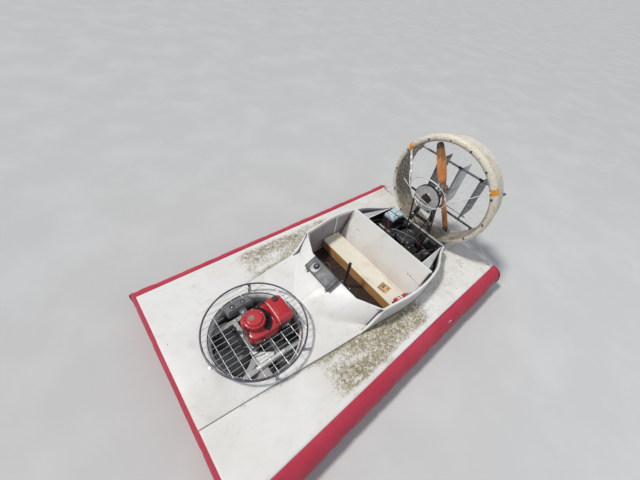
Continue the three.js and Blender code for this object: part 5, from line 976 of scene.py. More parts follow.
# ---------------------------------------------------------------- propeller, its drive and the duct
def drive():
    finer("prop_tower", "black", .0030, 2, slot="painted_steel")
    t = Piece("tower_fixings"); S = 3.000
    t.lathe([(.0235, -.019), (.033, -.019), (.034, -.016), (.034, .016), (.033, .019), (.0235, .019)], P(0, S, DUCT_Z), (0, 1, 0), "soot", 36, closed=True)
    t.lathe([(.0228, -.0215), (.0265, -.0215), (.0270, -.017), (.0270, .017), (.0265, .0215), (.0228, .0215)], P(0, S, DUCT_Z), (0, 1, 0), "steel", 32, closed=True)
    t.box(-.0815, .0815, S - .015, S + .015, DUCT_Z + .034, DUCT_Z + .046, "black", .003)
    for x in (-.058, .058): t.bolt(P(x, S, DUCT_Z + .046), (0, 0, 1), .0075, "steel", h=.010); t.drum(P(x, S, DUCT_Z + .050), P(x, S, DUCT_Z + .063), .0042, "steel", 12, .0008)
    for k in (-1, 1):
        for z in (DK + .04, DK + .268, DUCT_Z - .055):
            x = lerp(.170, .058, (z - DK) / (DUCT_Z - .040 - DK)); t.bolt(P(k * x, S - .0200, z), (0, -1, 0), .0065, "steel", h=.006); t.bolt(P(k * x, S + .0200, z), (0, 1, 0), .0065, "steel", h=.006)
        t.bar(P(k * .045, S - .022, DUCT_Z - .075), P(k * .108, S - .022, DK + .275), .016, .005, "black", (0, 1, 0))
        t.bar(P(k * .175, S - .016, DK + .020), P(k * .175, 2.9615, DK + .020), .018, .010, "black"); t.bolt(P(k * .186, S, DK + .014), (0, 0, 1), .0065, "steel")
        t.bar(P(k * .110, S - .024, DK + .235), P(-k * .150, S - .024, DK + .050), .014, .004, "black", (0, 1, 0))
    t.box(-.060, .060, S - .034, S - .022, DUCT_Z - .235, DUCT_Z - .150, "umber", .004, 2); t.box(-.044, .044, S - .046, S - .034, DUCT_Z - .222, DUCT_Z - .165, "soot", .006, 3)
    for x in (-.050, .050):
        for z in (DUCT_Z - .228, DUCT_Z - .157): t.bolt(P(x, S - .034, z), (0, -1, 0), .004, "steel")
    t.drum(P(-.098, S - .040, DUCT_Z - .30), P(-.098, S - .020, DUCT_Z - .30), .022, "bolt", 22, .003); t.drum(P(.112, S - .052, DUCT_Z - .345), P(.112, S - .020, DUCT_Z - .345), .026, "steel", 26, .003)
    t.tube(catmull([P(-.135, S - .026, DK + .13), P(-.10, S - .030, DK + .25), P(-.07, S - .028, DK + .38), P(-.052, S - .026, DUCT_Z - .10)], 6), .005, "rubber", 10)
    t.make("craft")
    # large pulley
    q = Piece("fine_drive_pulley"); a = Vector((0, 0, DUCT_Z))
    prof = [(.0225, 2.8785), (.030, 2.8780), (.034, 2.8745), (.060, 2.8735), (.128, 2.8735), (.136, 2.8765), (.1435, 2.8772), (.1450, 2.8755),
            (.1450, 2.8505), (.1438, 2.8490), (.1380, 2.8487), (.1340, 2.8500), (.1290, 2.8510), (.1000, 2.8514), (.0700, 2.8514), (.0600, 2.8506), (.0560, 2.8470), (.0400, 2.8462), (.0345, 2.8455)]
    q.lathe([(r, s - MID) for r, s in prof] + [(.0225, 2.8455 - MID)], a, (0, 1, 0), "pulley", 120, closed=True)
    q.lathe([(.0225, 2.8450 - MID), (.0335, 2.8450 - MID), (.0340, 2.8435 - MID), (.0340, 2.8275 - MID), (.0325, 2.8255 - MID), (.026, 2.8250 - MID), (.0255, 2.8270 - MID), (.0225, 2.8272 - MID)], a, (0, 1, 0), "hub", 40, closed=True)
    q.drum(P(0, 2.8265, DUCT_Z), P(0, 2.860, DUCT_Z), .0222, "soot", 28, .002)
    for i in range(4):
        an = math.radians(18 + 90 * i); q.bolt(P(.0475 * math.cos(an), 2.8465, DUCT_Z + .0475 * math.sin(an)), (0, -1, 0), .0085, "bolt", h=.009)
    for i in range(2):
        an = math.radians(200 + 36 * i); q.drum(P(.088 * math.cos(an), 2.8508, DUCT_Z + .088 * math.sin(an)), P(.088 * math.cos(an), 2.8525, DUCT_Z + .088 * math.sin(an)), .0075, "bolt", 20, .0005)
    q.make("propeller_rotor", "pulley_silver", ("drive_pulley",), angle=25)
    # propeller: laminated blades with rounded tips, hub block, clamp plate
    m = Piece("fine_propeller"); R = Matrix.Rotation(math.radians(-30), 4, "Y"); o = P(0, PROP_S, DUCT_Z)
    T = [(.030, .066, .034, 40), (.090, .080, .030, 36), (.150, .096, .022, 30), (.240, .101, .018, 24.5), (.330, .100, .015, 20), (.430, .088, .0115, 17), (.490, .078, .0095, 15), (.515, .068, .0082, 14.4), (.526, .052, .0070, 14.1), (.5305, .032, .0055, 14), (.5320, .012, .004, 14)]
    ch = through([(r, c) for r, c, t, q_ in T], 6); th = through([(r, t) for r, c, t, q_ in T], 6); pi = through([(r, q_) for r, c, t, q_ in T], 6)
    st = [.030 + .016 * i for i in range(30)] + [.505, .513, .520, .5255, .529, .5312, .532]
    for k in (1, -1):
        rings = []
        for r in st:
            c, t, g = ch(r), th(r), math.radians(pi(r)); ring = []
            for i in range(26):
                w = 2 * math.pi * i / 26; u = .5 * math.cos(w); v = .5 * math.sin(w) * (1.02 - .55 * (u + .5)) * (1.15 if math.sin(w) > 0 else .75)
                A, B = u * c, v * t; ring.append(m.bm.verts.new(o + R @ Vector((k * (A * math.cos(g) - B * math.sin(g)), A * math.sin(g) + B * math.cos(g), k * r))))
            rings.append(ring)
        m.faces(rings, "prop", caps=True)
        e = [Vector((k * -.5 * ch(r) * math.cos(math.radians(pi(r))) , -.5 * ch(r) * math.sin(math.radians(pi(r))), k * r)) for r in (.40, .43, .46, .49, .508)]
        m.tube([o + R @ q_ for q_ in catmull(e, 4)], .0026, "umber", 8, squash=(1, 1))       # edge guard strip
    m.lathe([(.0225, -.029), (.050, -.029), (.0565, -.026), (.0580, -.020), (.0580, .020), (.0565, .026), (.050, .029), (.0225, .029)], o, (0, 1, 0), "prop", 64, closed=True)
    for y in (-.0300, .0300): m.lathe([(.0225, -.0028), (.0490, -.0028), (.0500, -.002), (.0500, .002), (.0490, .0028), (.0225, .0028)], o + Vector((0, y, 0)), (0, 1, 0), "alu", 48, closed=True)
    for i in range(6):
        an = math.radians(60 * i + 12)
        for y in (-.0328, .0328): m.bolt(o + Vector((.036 * math.cos(an), y, .036 * math.sin(an))), (0, y, 0), .0062, "bolt", h=.006)
    m.drum(P(0, 2.8788, DUCT_Z), P(0, 3.201, DUCT_Z), .0218, "steel", 32, .0015)
    for s in (2.965, 3.038): m.lathe([(.0218, -.006), (.0300, -.006), (.0308, -.005), (.0308, .005), (.0300, .006), (.0218, .006)], P(0, s, DUCT_Z), (0, 1, 0), "soot", 30)
    m.bolt(P(0, 3.2005, DUCT_Z), (0, 1, 0), .012, "steel", h=.012)
    m.make("propeller_rotor", "prop_orange", ("propeller",), angle=45)
    # belt
    b = Piece("fine_drive_belt"); Rb, rb, d = .145 + .0044, .060 + .0044, DUCT_Z - .400; lean = math.asin((Rb - rb) / d); pts = []
    for i in range(61): an = -lean + (math.pi + 2 * lean) * i / 60; pts.append(P(Rb * math.cos(an), PULLEY_S - .004, DUCT_Z + Rb * math.sin(an)))
    a0, a1 = pts[-1], P(rb * math.cos(math.pi + lean), PULLEY_S - .004, .400 + rb * math.sin(math.pi + lean)); pts += [lerp(a0, a1, t / 12) for t in range(1, 12)]
    for i in range(37): an = math.pi + lean + (math.pi - 2 * lean) * i / 36; pts.append(P(rb * math.cos(an), PULLEY_S - .004, .400 + rb * math.sin(an)))
    pts += [lerp(pts[-1], pts[0], t / 12) for t in range(1, 12)]
    sec = [(-.0034, -.0118), (-.0026, -.0120), (.0030, -.0120), (.0036, -.0112)] + [(.0036 - .0012 * (i % 2), -.0100 + .0025 * i) for i in range(9)] + [(.0036, .0112), (.0030, .0120), (-.0026, .0120), (-.0034, .0118)]
    b.sweep(pts, sec, "rubber", closed=True, ups=[(0, 1, 0)] * len(pts))
    b.make("craft", "belt_rubber", ("drive_belt",))
drive()

def duct():
    n = 180; c = Vector((0, 0, DUCT_Z)); p = Piece("fine_thrust_duct")
    def ring(prof, mat):
        rings = []
        for r, s in prof:
            row = []
            for j in range(n):
                a = 2 * math.pi * j / n; w = noise.noise(Vector((math.cos(a) * 2.5, math.sin(a) * 2.5, s * 6))) * .0016 + noise.noise(Vector((math.cos(a) * 9, math.sin(a) * 9, s * 14))) * .0006
                row.append(p.bm.verts.new(Vector((math.cos(a) * (r + w), s - MID, DUCT_Z + math.sin(a) * (r + w)))))
            rings.append(row)
        return p.faces(rings, mat)
    L, mid, s0 = .0392, .596, 3.090
    wall = [(.5668, 3.3088), (.5660, 3.305), (.5655, 3.28), (.5640, 3.24), (.5622, 3.20), (.5604, 3.16), (.5586, 3.125), (.5572, 3.100)]
    lip = [(mid + L * math.cos(math.radians(a)), s0 - L * math.sin(math.radians(a))) for a in range(180, -1, -10)]
    back = [(.6345, 3.100), (.6310, 3.113), (.6255, 3.124), (.6160, 3.132), (.6020, 3.136), (.5960, 3.1375), (.5945, 3.142), (.5925, 3.17), (.5900, 3.22), (.5880, 3.26), (.5865, 3.300), (.5858, 3.308), (.5845, 3.3097), (.5690, 3.3097), (.5668, 3.3088)]
    ring(wall + [lip[0]], "duct_in"); ring(lip[:6], "duct_in"); ring(lip[5:] + back, "duct_out")
    bmesh.ops.remove_doubles(p.bm, verts=p.bm.verts, dist=1e-6)
    # rear flange band, its rivets and patches along the inside
    p.lathe([(.5868, 3.296 - MID), (.5890, 3.297 - MID), (.5890, 3.308 - MID), (.5868, 3.3092 - MID)], c, (0, 1, 0), "duct_out", n)
    for j in range(28):
        a = 2 * math.pi * j / 28; u = Vector((math.cos(a), 0, math.sin(a))); p.screw(c + u * .5945 + Vector((0, 3.150 - MID, 0)), u, .0040, "steel")
    for a0 in (92, 211, 331):
        a = math.radians(a0); u = Vector((math.cos(a), 0, math.sin(a))); v = Vector((-u.z, 0, u.x))
        p.obox(c + u * .5620 + Vector((0, 3.205 - MID, 0)), v, (0, 1, 0), (.030, .185, .0035), "duct_in", .0012, 2)
    # knobs that the net is tied to
    for a0, big in ((-30, 1), (-2, 1), (27, 1), (54, 1), (78, 1), (101, .7), (125, 1), (154, 1), (182, 1), (208, 1), (236, 1), (264, 1), (296, 1)):
        a = math.radians(a0); u = Vector((math.cos(a), 0, math.sin(a))); t = math.radians(128); d = (u * -math.cos(t) * -1 * .35 + Vector((0, -1, 0))).normalized()
        q = c + u * (mid - .004) + Vector((0, s0 - L - MID + .0004, 0)); d = Vector((0, -1, 0)) + u * .10
        p.lathe([(0, -.002), (.0125 * big, -.002), (.0125 * big, .0016), (.0105 * big, .003), (0, .003)], q, d, "steel", 20)
        p.lathe([(0, .001), (.0085 * big, .002), (.0098 * big, .0055), (.0092 * big, .0098), (.006 * big, .0118), (0, .0122)], q, d, "bolt", 18)
    # tapes over the roots of the two guard stays
    for a0, wide in ((149, .050), (34, .058)):
        for turn, (shift, mat) in enumerate(((0, "orange_tape"), (.6, "orange_tape"))):
            a = math.radians(a0 + (shift - .3) * 1.6); u = Vector((math.cos(a), 0, math.sin(a))); v = Vector((-u.z, 0, u.x)); rows = []
            for e in range(-6, 7):
                w = e / 12 * wide * (1 - .25 * turn); row = []
                for ang in range(0, 360, 12):
                    rr = L + .0015 + .0009 * turn + .0006 * math.sin(e * 2.2 + ang * .06)
                    q = u * (mid + rr * math.cos(math.radians(ang))) + Vector((0, s0 - rr * math.sin(math.radians(ang)) - MID, 0)) + v * w
                    k = max(0.0, -math.sin(math.radians(ang))); rad = Vector((q.x, 0, q.z)).length; want = Vector((q.x, 0, q.z)) / rad * (u.dot(Vector((q.x, 0, q.z))) / 1)
                    row.append(p.bm.verts.new(c + q))
                rows.append(row)
            p.faces(rows, mat)
    p.make("craft", "duct_cream", ("thrust_duct",), angle=45)
duct()

def net():
    """Light net, tied to the knobs on the lip and laced to the oval hoop."""
    p = Piece("guard_net"); hx, hz, hc = .225, .150, DUCT_Z + .092; cols = 44; rows = 7
    def at(i, t):
        a = 2 * math.pi * i / cols; lipp = Vector((.575 * math.cos(a), 3.052 - MID, DUCT_Z + .575 * math.sin(a)))
        h = Vector((hx * math.cos(a), 2.806 - MID, hc + hz * math.sin(a)))
        q = lerp(lipp, h, t); q.z -= .020 * math.sin(math.pi * t) * (.6 + .4 * math.sin(3 * a)); return q
    r = .00078
    for i in range(cols):
        for sgn in (1, -1):
            pts = []
            for j in range(rows + 1):
                q = at(i + sgn * j * .5, j / rows); w = noise.noise(q * 9) * .010 * math.sin(math.pi * j / rows)
                pts.append(q + Vector((w, w * .6, -w)))
            if not (sgn > 0 and (i * 7) % 11 == 3): p.tube(pts, r, "net", 5, caps=True)
    for j, rr in ((0, .0014), (rows, .0011)):
        p.tube([at(i, j / rows) for i in range(cols)], rr, "net", 6, closed=True)
    for i in range(0, cols, 3):
        q = at(i, 1.0); p.tube([q + Vector((0, -.006 * math.cos(t), .006 * math.sin(t))) for t in [x * .8 for x in range(8)]], .0009, "net", 5)
    p.make("craft")
net()

def hoop_and_rudders():
    p = Piece("fine_guard_hoop"); S, Z, hx, hz = 2.806, DUCT_Z + .092, .225, .150
    path = ring_pts(P(0, S, Z), hx, 96, "y", hz); path = [q + Vector((0, noise.noise(q * 6) * .004, noise.noise(q * 5 + Vector((3, 0, 0))) * .003)) for q in path]
    p.tube(path, .0050, "rod", 12, closed=True)
    for a, b in ((1.3, 1.9), (2.6, 3.0), (4.0, 4.7), (5.5, 5.9), (.3, .55)):                      # peeling tape along the rod
        seg = [P(hx * math.cos(a + (b - a) * i / 12), S, Z + hz * math.sin(a + (b - a) * i / 12)) for i in range(13)]
        p.tube(seg, .0060, "white", 12, radii=[.0058 + .0008 * math.sin(i * 1.9) for i in range(13)])
        e = seg[-1]; p.panel((e, e + Vector((.010, -.004, -.012)), e + Vector((.018, -.010, -.030)), e + Vector((.004, -.006, -.024))), .0006, "white", 1, 2, .0002)
    def lip_end(deg): a = math.radians(deg); return P(.596 * math.cos(a), 3.062, DUCT_Z + .596 * math.sin(a))
    e = lip_end(149); a = P(-hx + .002, S, Z); d = (e - a); stop = a + d * (1 - .034 / d.length)
    p.bar(a, stop, .028, .0075, "rod", (0, 1, 0), .002)
    p.tube(catmull([a + Vector((-.012, .003, 0)), a + Vector((.004, -.008, .012)), a + Vector((.010, -.002, .030))], 5), .0035, "white", 8)
    for t in (.06, .12, .92): p.bolt(a + d * t + Vector((0, -.004, 0)), (0, -1, .2), .0048, "bolt")
    for t in (.30, .52, .70):
        q = a + d * t; p.bar(q - d.normalized() * .016, q + d.normalized() * .016, .0295, .0090, "white", (0, 1, 0), .0015)
    e = lip_end(34); a = P(hx - .004, S, Z - .014); d = e - a; p.tube([a, lerp(a, e, .3), lerp(a, e, .7), a + d * (1 - .036 / d.length)], .0046, "rod", 10)
    for t in (.02, .93): p.tube([a + d * t, a + d * (t + .03)], .0064, "white", 10)
    p.make("craft", "painted_steel", ("guard_hoop",))
    # cable that runs across before the pulley from the hoop to the tower
    t = Piece("hub_cable"); path = catmull([P(-.330, 2.830, DUCT_Z + .070), P(-.235, 2.800, DUCT_Z + .050), P(-.12, 2.795, DUCT_Z + .020), P(.02, 2.797, DUCT_Z - .010), P(.12, 2.800, DUCT_Z - .030), P(.178, 2.806, Z - hz * .62 - .004)], 8)
    t.tube(path, .0040, "rod", 10); t.make("craft")
    # rudder bars
    for name, z, hinge in (("top", 1.192, -1), ("low", .620, 1)):
        b = Piece("fine_rudder_bar_" + name); h = z - DUCT_Z; x = math.sqrt(.576 ** 2 - h * h); S = RUDDER_S
        b.drum(P(-x - .0135, S, z), P(x + .0135, S, z), .0130, "alu" if name == "top" else "black", 26, .0015)
        for k in (-1, 1):
            b.box(k * x - .0098, k * x + .0098, 3.3104, S, z - .0098, z + .0098, "black", .0015); b.box(k * x - .015, k * x + .015, 3.3104, 3.3145, z - .030, z + .030, "black", .001)
            for dz in (-.022, .022): b.bolt(P(k * x, 3.3145, z + dz), (0, 1, 0), .0048, "steel")
            b.drum(P(k * (x + .0135), S, z), P(k * (x + .0165), S, z), .0118, "rubber", 20, .001)
        for k in (1, 0, -1):
            for dx in (-.022, .022): b.lathe([(.0131, -.003), (.0158, -.0028), (.0158, .0028), (.0131, .003)], P(k * .265 + dx, S, z), (1, 0, 0), "bolt", 24)
            b.lathe([(.0133, -.0195), (.0150, -.0190), (.0150, .0190), (.0133, .0195)], P(k * .265, S, z), (1, 0, 0), "bolt", 24)
        b.make("craft", "painted_steel", ("rudder_bar_" + name,))
    for side, k in (("port", 1), ("centre", 0), ("starboard", -1)):
        r = Piece("fine_rudder_" + side); x = k * .265; z0, z1 = .652, 1.162; S = RUDDER_S; mat = "alu" if side == "centre" else "grey"
        sec = [(-.026, .0018), (-.0245, .0030), (-.010, .0080), (.010, .0090), (.060, .0080), (.120, .0062), (.180, .0044), (.240, .0026), (.2735, .0014), (.275, 0)]
        loop = [(s, w) for s, w in sec] + [(s, -w) for s, w in sec[::-1][1:]]; rings = []
        for z, g in ((z0, .90), (z0 + .0015, 1), (z0 + .17, 1), (z0 + .34, 1), (z1 - .0015, 1), (z1, .90)):
            cut = 0.0
            rings.append([r.bm.verts.new(P(x + w * g, S + lerp(.12, s, 1 if g == 1 else .995), z)) for s, w in loop])
        r.faces(rings, mat, caps=True)
        for z in (z0 + .035, z0 + .17, z0 + .34, z1 - .035):                                   # ribs under the sheet, with their rivets
            for w in (1, -1):
                r.bar(P(x + w * .0084, S - .004, z), P(x + w * .0030, S + .255, z), .010, .0016, mat, (w, 0, 0), .0006)
                for j in range(7): r.screw(P(x + w * lerp(.0096, .0042, j / 6), S + .012 + .038 * j, z), (w, 0, 0), .0020, "steel")
        r.drum(P(x, S, .6352), P(x, S, 1.1768), .0069, "steel", 20, .001)
        for z in (.640, 1.168): r.drum(P(x, S, z), P(x, S, z + .005), .0105, "bolt", 18, .001)
        r.drum(P(x, S + .095, .6325), P(x, S + .095, .662), .0049, "steel", 16, .0008)
        r.panel((P(x - .006, S - .010, .650), P(x + .006, S - .010, .650), P(x + .006, S + .105, .650), P(x - .006, S + .105, .650)), .0035, "steel", 1, 2, .0006)
        r.make("rudder_" + side + "_blade", "rudder_aluminium", ("rudder_" + side,), angle=28)
    t = Piece("fine_tie_rod"); S, z = RUDDER_S + .095, .624
    t.drum(P(-.2845, S, z), P(.2845, S, z), .0059, "steel", 18, .001)
    for k in (1, 0, -1):
        t.lathe([(.0059, -.011), (.0072, -.010), (.0072, .010), (.0059, .011)], P(k * .265 + .020 * (k if k else 0), S, z), (1, 0, 0), "bolt", 18)
        t.lathe([(.0059, -.0065), (.0068, -.0060), (.0068, .0060), (.0059, .0065)], P(k * .265 - .022, S, z), (1, 0, 0), "steel", 6)
    t.make("rudder_tie_rod", "dark_steel", ("tie_rod",))
    finer("duct_cradle", "black", .0022, 2, slot="painted_steel")
    for side in ("port", "starboard"): finer("duct_brace_" + side, "rod", .0022, 2, slot="pulley_silver")
    f = Piece("duct_fixings")
    for x in (-.325, -.2, 0, .2, .325):
        for s in (3.165, 3.290): f.bolt(P(x, s, DK + .012), (0, 0, 1), .006, "steel")
    for k in (-1, 1):
        for dx in (-.013, .013): f.bolt(P(k * .866 + dx, 3.385, DK + .008), (0, 0, 1), .0036, "steel")
        f.bar(P(k * .335, 3.155, DK + .0145), P(k * .335, 3.300, DK + .0145), .010, .005, "alu")
    for k in (-1, 1):                                                                          # turnbuckle and wrapped ends on the duct's two slim stays
        low, top = P(k * .866, 3.372, DK + .004), P(k * .530, 3.166, DUCT_Z - .250); u = (top - low).normalized()
        for q, L, r in ((low + u * .075, .060, .0085), (low + u * .480, .030, .0075)): f.lathe([(.0030, -L / 2), (r * .8, -L / 2), (r, -L / 2 + .004), (r, L / 2 - .004), (r * .8, L / 2), (.0030, L / 2)], q, u, "steel" if L > .05 else "net", 16)
    f.make("craft")
hoop_and_rudders()

# ---------------------------------------------------------------- lift fan unit
def lift_unit():
    n = 128; c = P(0, FAN_S, 0)
    d = Piece("fine_lift_duct")
    d.lathe([(.3990, .0515), (.3978, .0503), (.3862, .0503), (.3850, .0510), (.3850, .180), (.3850, .300), (.3856, .312)], c, (0, 0, 1), "well", n)
    d.lathe([(.3856, .312), (.3880, .325), (.3930, .338), (.3995, .3488), (.4060, .3545), (.4110, .3565), (.4145, .3555), (.4168, .3525), (.4170, .3488), (.4168, .320),
             (.399, .281), (.399, .0515)], c, (0, 0, 1), "deck", n)
    bmesh.ops.remove_doubles(d.bm, verts=d.bm.verts, dist=1e-6)
    for a in range(8, 368, 30):
        u = Vector((math.cos(math.radians(a)), math.sin(math.radians(a)), 0)); d.screw(c + u * .3853 + Vector((0, 0, .292)), -u, .0048, "steel")
    d.tube(ring_pts(c + Vector((0, 0, .3580)), .4075, n), .0052, "guard", 12, closed=True)       # painted shadow of the guard ring: a dark rod ring round the mouth
    d.make("craft", "deck_white", ("lift_duct",), angle=50)
    finer("lift_engine_mount", "palegrey", .0022, 2, slot="painted_steel")
    m = Piece("lift_mount_fixings")
    for x in (-.255, .255):
        for s in (.640, .770): m.bolt(P(x, s - (.0) + .0, .253), (0, 0, 1), .0062, "steel")
        for k in (-1, 1):
            y = FAN_S + k * math.sqrt(.3845 ** 2 - .255 ** 2) * .985; m.box(x - .030, x + .030, y - .004 * k - .003, y - .004 * k + .003, .212, .262, "palegrey", .001)
    for x in (-.085, .095):
        for s in (.620, .790): m.bolt(P(x, s, .2535), (0, 0, 1), .0055, "steel")
    # white triangular plate with a turned-down edge, a black bent link and short pipe clips, port side of the well
    m.panel((P(.105, .600, .262), P(.232, .612, .262), P(.232, .745, .262), P(.212, .760, .262)), .003, "white", 2, 2, .0008)
    m.bar(P(.105, .600, .262), P(.212, .760, .262), .004, .012, "white", r=.001)
    m.tube(catmull([P(.130, .570, .266), P(.150, .60, .300), P(.158, .66, .318), P(.150, .72, .312), P(.128, .765, .290)], 6), .0052, "bolt", 10)
    m.tube(catmull([P(.210, .800, .268), P(.190, .84, .290), P(.168, .87, .300), P(.150, .92, .318)], 6), .0062, "brown", 10)
    m.bar(P(.252, .560, .262), P(.252, .850, .262), .030, .010, "white", r=.002)
    m.box(-.250, -.185, .860, .940, .262, .330, "soot", .006, 3); m.box(-.236, -.196, .872, .928, .330, .338, "black", .002, 2)
    m.bar(P(-.215, .835, .258), P(-.215, .955, .258), .040, .008, "palegrey", r=.001)
    m.drum(P(-.150, .575, .272), P(-.150, .575, .330), .018, "bolt", 20, .003)
    m.make("craft")
    # engine under its shroud
    e = Piece("fine_lift_engine")
    e.box(-.090, .098, .612, .798, .2536, .330, "cast", .010, 3); e.box(-.096, .104, .606, .804, .326, .336, "cast", .002, 2); e.box(-.086, .094, .616, .796, .334, .4232, "soot", .010, 3)
    for i in range(6):
        for x in (-.090, .098): e.bolt(P(x, .620 + i * .033, .336), (0, 0, 1), .0040, "steel")
    for i in range(11):                                                                       # cylinder fins stand upright, the aft four pale grey
        s = .808 + i * .0185; e.box(-.046, .090, s, s + .0055, .332 if i < 9 else .340, .4215, "palegrey" if i > 6 else "cast", .0012, 1)
    e.box(-.030, .074, .800, 1.003, .345, .410, "cast", .006, 2)
    e.drum(P(.022, 1.003, .378), P(.022, 1.012, .378), .012, "steel", 18, .001); e.drum(P(.022, 1.010, .378), P(.022, 1.034, .378), .0070, "white", 16, .001); e.drum(P(.022, 1.030, .378), P(.022, 1.0405, .378), .0105, "rubber", 16, .002)
    e.drum(P(0, FAN_S, .2063), P(0, FAN_S, .2620), .0155, "steel", 24, .001)
    for i in range(8): e.box(-.040, .084, 1.0065 + .0035 * (i % 2), 1.012 + .0035 * (i % 2), .350 + i * .013, .3545 + i * .013, "palegrey", .0010, 1)      # head fins
    e.lathe([(0, -.062), (.024, -.061), (.031, -.056), (.033, -.048), (.033, .048), (.031, .056), (.024, .061), (0, .062)], P(.1620, .905, .402), (0, 1, 0), "soot", 32)     # exhaust can
    for i in range(9): e.lathe([(.0332, -.0015), (.0345, -.001), (.0345, .001), (.0332, .0015)], P(.1620, .865 + i * .010, .402), (0, 1, 0), "bolt", 32)
    e.tube(catmull([P(.088, .880, .372), P(.110, .885, .372), P(.132, .895, .386)], 5), .011, "umber", 12)
    e.box(-.130, -.088, .650, .730, .350, .420, "alu", .006, 3); e.drum(P(-.108, .650, .385), P(-.108, .636, .385), .014, "alu", 20, .002)                                      # carburettor
    e.box(-.120, -.096, .740, .790, .345, .395, "soot", .004, 2)
    for i in range(3): e.bar(P(.100, .640 + .03 * i, .34), P(.100, .655 + .03 * i, .42), .004, .004, "steel")
    e.tube(catmull([P(.098, .630, .350), P(.122, .66, .372), P(.120, .73, .380), P(.100, .79, .372)], 6), .0028, "rubber", 8)
    e.make("craft", "engine_black", ("lift_engine",))
    # red shroud: blower housing, starter drum and tank
    r = Piece("fine_lift_engine_shroud"); top = (0, 0, 1)
    base = [(-.116, .650), (-.108, .628), (-.080, .607), (.090, .607), (.112, .618), (.128, .640), (.138, .700), (.1375, .8560), (-.1155, .8560)]
    r.slab(base, .4243, .5320, "red", .012)
    r.slab([(x * .97, lerp(.700, s, .97)) for x, s in base], .4200, .4252, "black", .001)
    for z in (.4300, .4460): r.slab([(x * 1.004, lerp(.7, s, 1.004)) for x, s in base], z, z + .0022, "red", .0008)
    o = P(0, FAN_S - .004, 0)
    r.lathe([(.0960, .5310), (.0968, .5340), (.0958, .5370), (.0935, .5395), (.0925, .5700), (.0915, .5940), (.0890, .6015), (.0840, .6045), (.0770, .6050), (.0740, .6030), (.0705, .6028), (.0690, .6060),
             (.0675, .6150), (.0640, .6198), (.0590, .6214), (.0400, .6222), (0, .6226)], o, top, "red", 72)
    for i in range(30):
        a = 2 * math.pi * i / 30; u = Vector((math.cos(a), math.sin(a), 0))
        r.bar(o + u * .0926 + Vector((0, 0, .546)), o + u * .0914 + Vector((0, 0, .590)), .0070, .0020, "plastic", u, .0008)
    for i in range(16):
        a = 2 * math.pi * i / 16; u = Vector((math.cos(a), math.sin(a), 0)); r.bar(o + u * .0725 + Vector((0, 0, .6040)), o + u * .0830 + Vector((0, 0, .6053)), .0075, .0016, "plastic", top, .0006)
    q = o + Vector((-.010, -.022, .6221)); r.lathe([(.0245, -.001), (.0245, .0012), (.0230, .0018), (.0215, .0013), (0, .0013)], q, top, "greengrey", 36)
    for a in (70, 190, 310):
        u = Vector((math.cos(math.radians(a)), math.sin(math.radians(a)), 0)); r.bolt(o + u * .1000 + Vector((0, 0, .5330)), top, .0050, "steel", h=.006)
    # black louvre band that curves round the drum's aft side
    def arc(r0, r1, z0, z1, a0, a1, mat, k=22):
        rings = []
        for i in range(k + 1):
            a = math.radians(lerp(a0, a1, i / k)); u = Vector((math.cos(a), math.sin(a), 0)); rings.append([r.bm.verts.new(o + u * rr + Vector((0, 0, zz))) for rr, zz in ((r0, z0), (r1, z0), (r1, z1 - .001), (r1 - .001, z1), (r0 + .001, z1), (r0, z1 - .001))])
        r.faces(rings, mat, caps=True)
    arc(.0975, .1470, .5318, .5345, 24, 156, "plastic")
    for rr in (.101, .1085, .116, .1235, .131, .1385): arc(rr, rr + .0032, .5340, .5490, 26, 154, "plastic")
    for a in (30, 54, 78, 102, 126, 150): arc(.0990, .1420, .5345, .5450, a - .9, a + .9, "black", 2)
    # tank: swollen box with a seam, a raised top panel, filler cap and straps
    tk = bmesh.new(); bmesh.ops.create_cube(tk, size=1); bmesh.ops.subdivide_edges(tk, edges=tk.edges[:], cuts=5, use_grid_fill=True)
    for v in tk.verts:
        x, y, z = v.co * 2
        k = 5.0; L = (abs(x) ** k + abs(y) ** k + abs(z) ** k) ** (1 / k); m_ = max(abs(x), abs(y), abs(z)); x, y, z = x * m_ / L, y * m_ / L, z * m_ / L
        crown = .006 * (1 - x * x) * (1 - y * y) if z > 0 else 0; y0 = y * (1 - .06 * (z + 1) / 2)
        v.co = P(.0110 + x * .1268, .9320 + y0 * .0855, .5270 + z * .0565 + crown - .0)
    bmesh.ops.subdivide_edges(tk, edges=tk.edges[:], cuts=1, use_grid_fill=True, smooth=.6); r.take(tk, "red")
    r.box(-.1120, .1340, .852, 1.0135, .5215, .5255, "red", .0018, 2)
    r.box(-.060, .085, .885, .980, .5840, .5885, "red", .0020, 3)
    cap = P(-.070, .945, .5800); r.lathe([(.0230, 0), (.0240, .004), (.0260, .006), (.0265, .016), (.0240, .0200), (.0100, .0215), (0, .0215)], cap, top, "plastic", 36)
    for i in range(20): a = 2 * math.pi * i / 20; u = Vector((math.cos(a), math.sin(a), 0)); r.bar(cap + u * .0262 + Vector((0, 0, .0065)), cap + u * .0262 + Vector((0, 0, .0160)), .0035, .0016, "plastic", u, .0005)
    r.tube(catmull([P(-.116, .868, .548), P(-.05, .868, .590), P(.05, .868, .592), P(.120, .868, .566), P(.137, .875, .50)], 8), .0022, "white", 8)
    r.box(-.1240, -.1140, .862, .882, .440, .560, "soot", .002, 2); r.box(.1370, .1420, .866, .884, .436, .520, "soot", .0015, 2)
    r.drum(P(.139, .700, .470), P(.150, .700, .470), .016, "plastic", 20, .002); r.drum(P(.148, .700, .470), P(.156, .700, .470), .008, "steel", 16, .001)
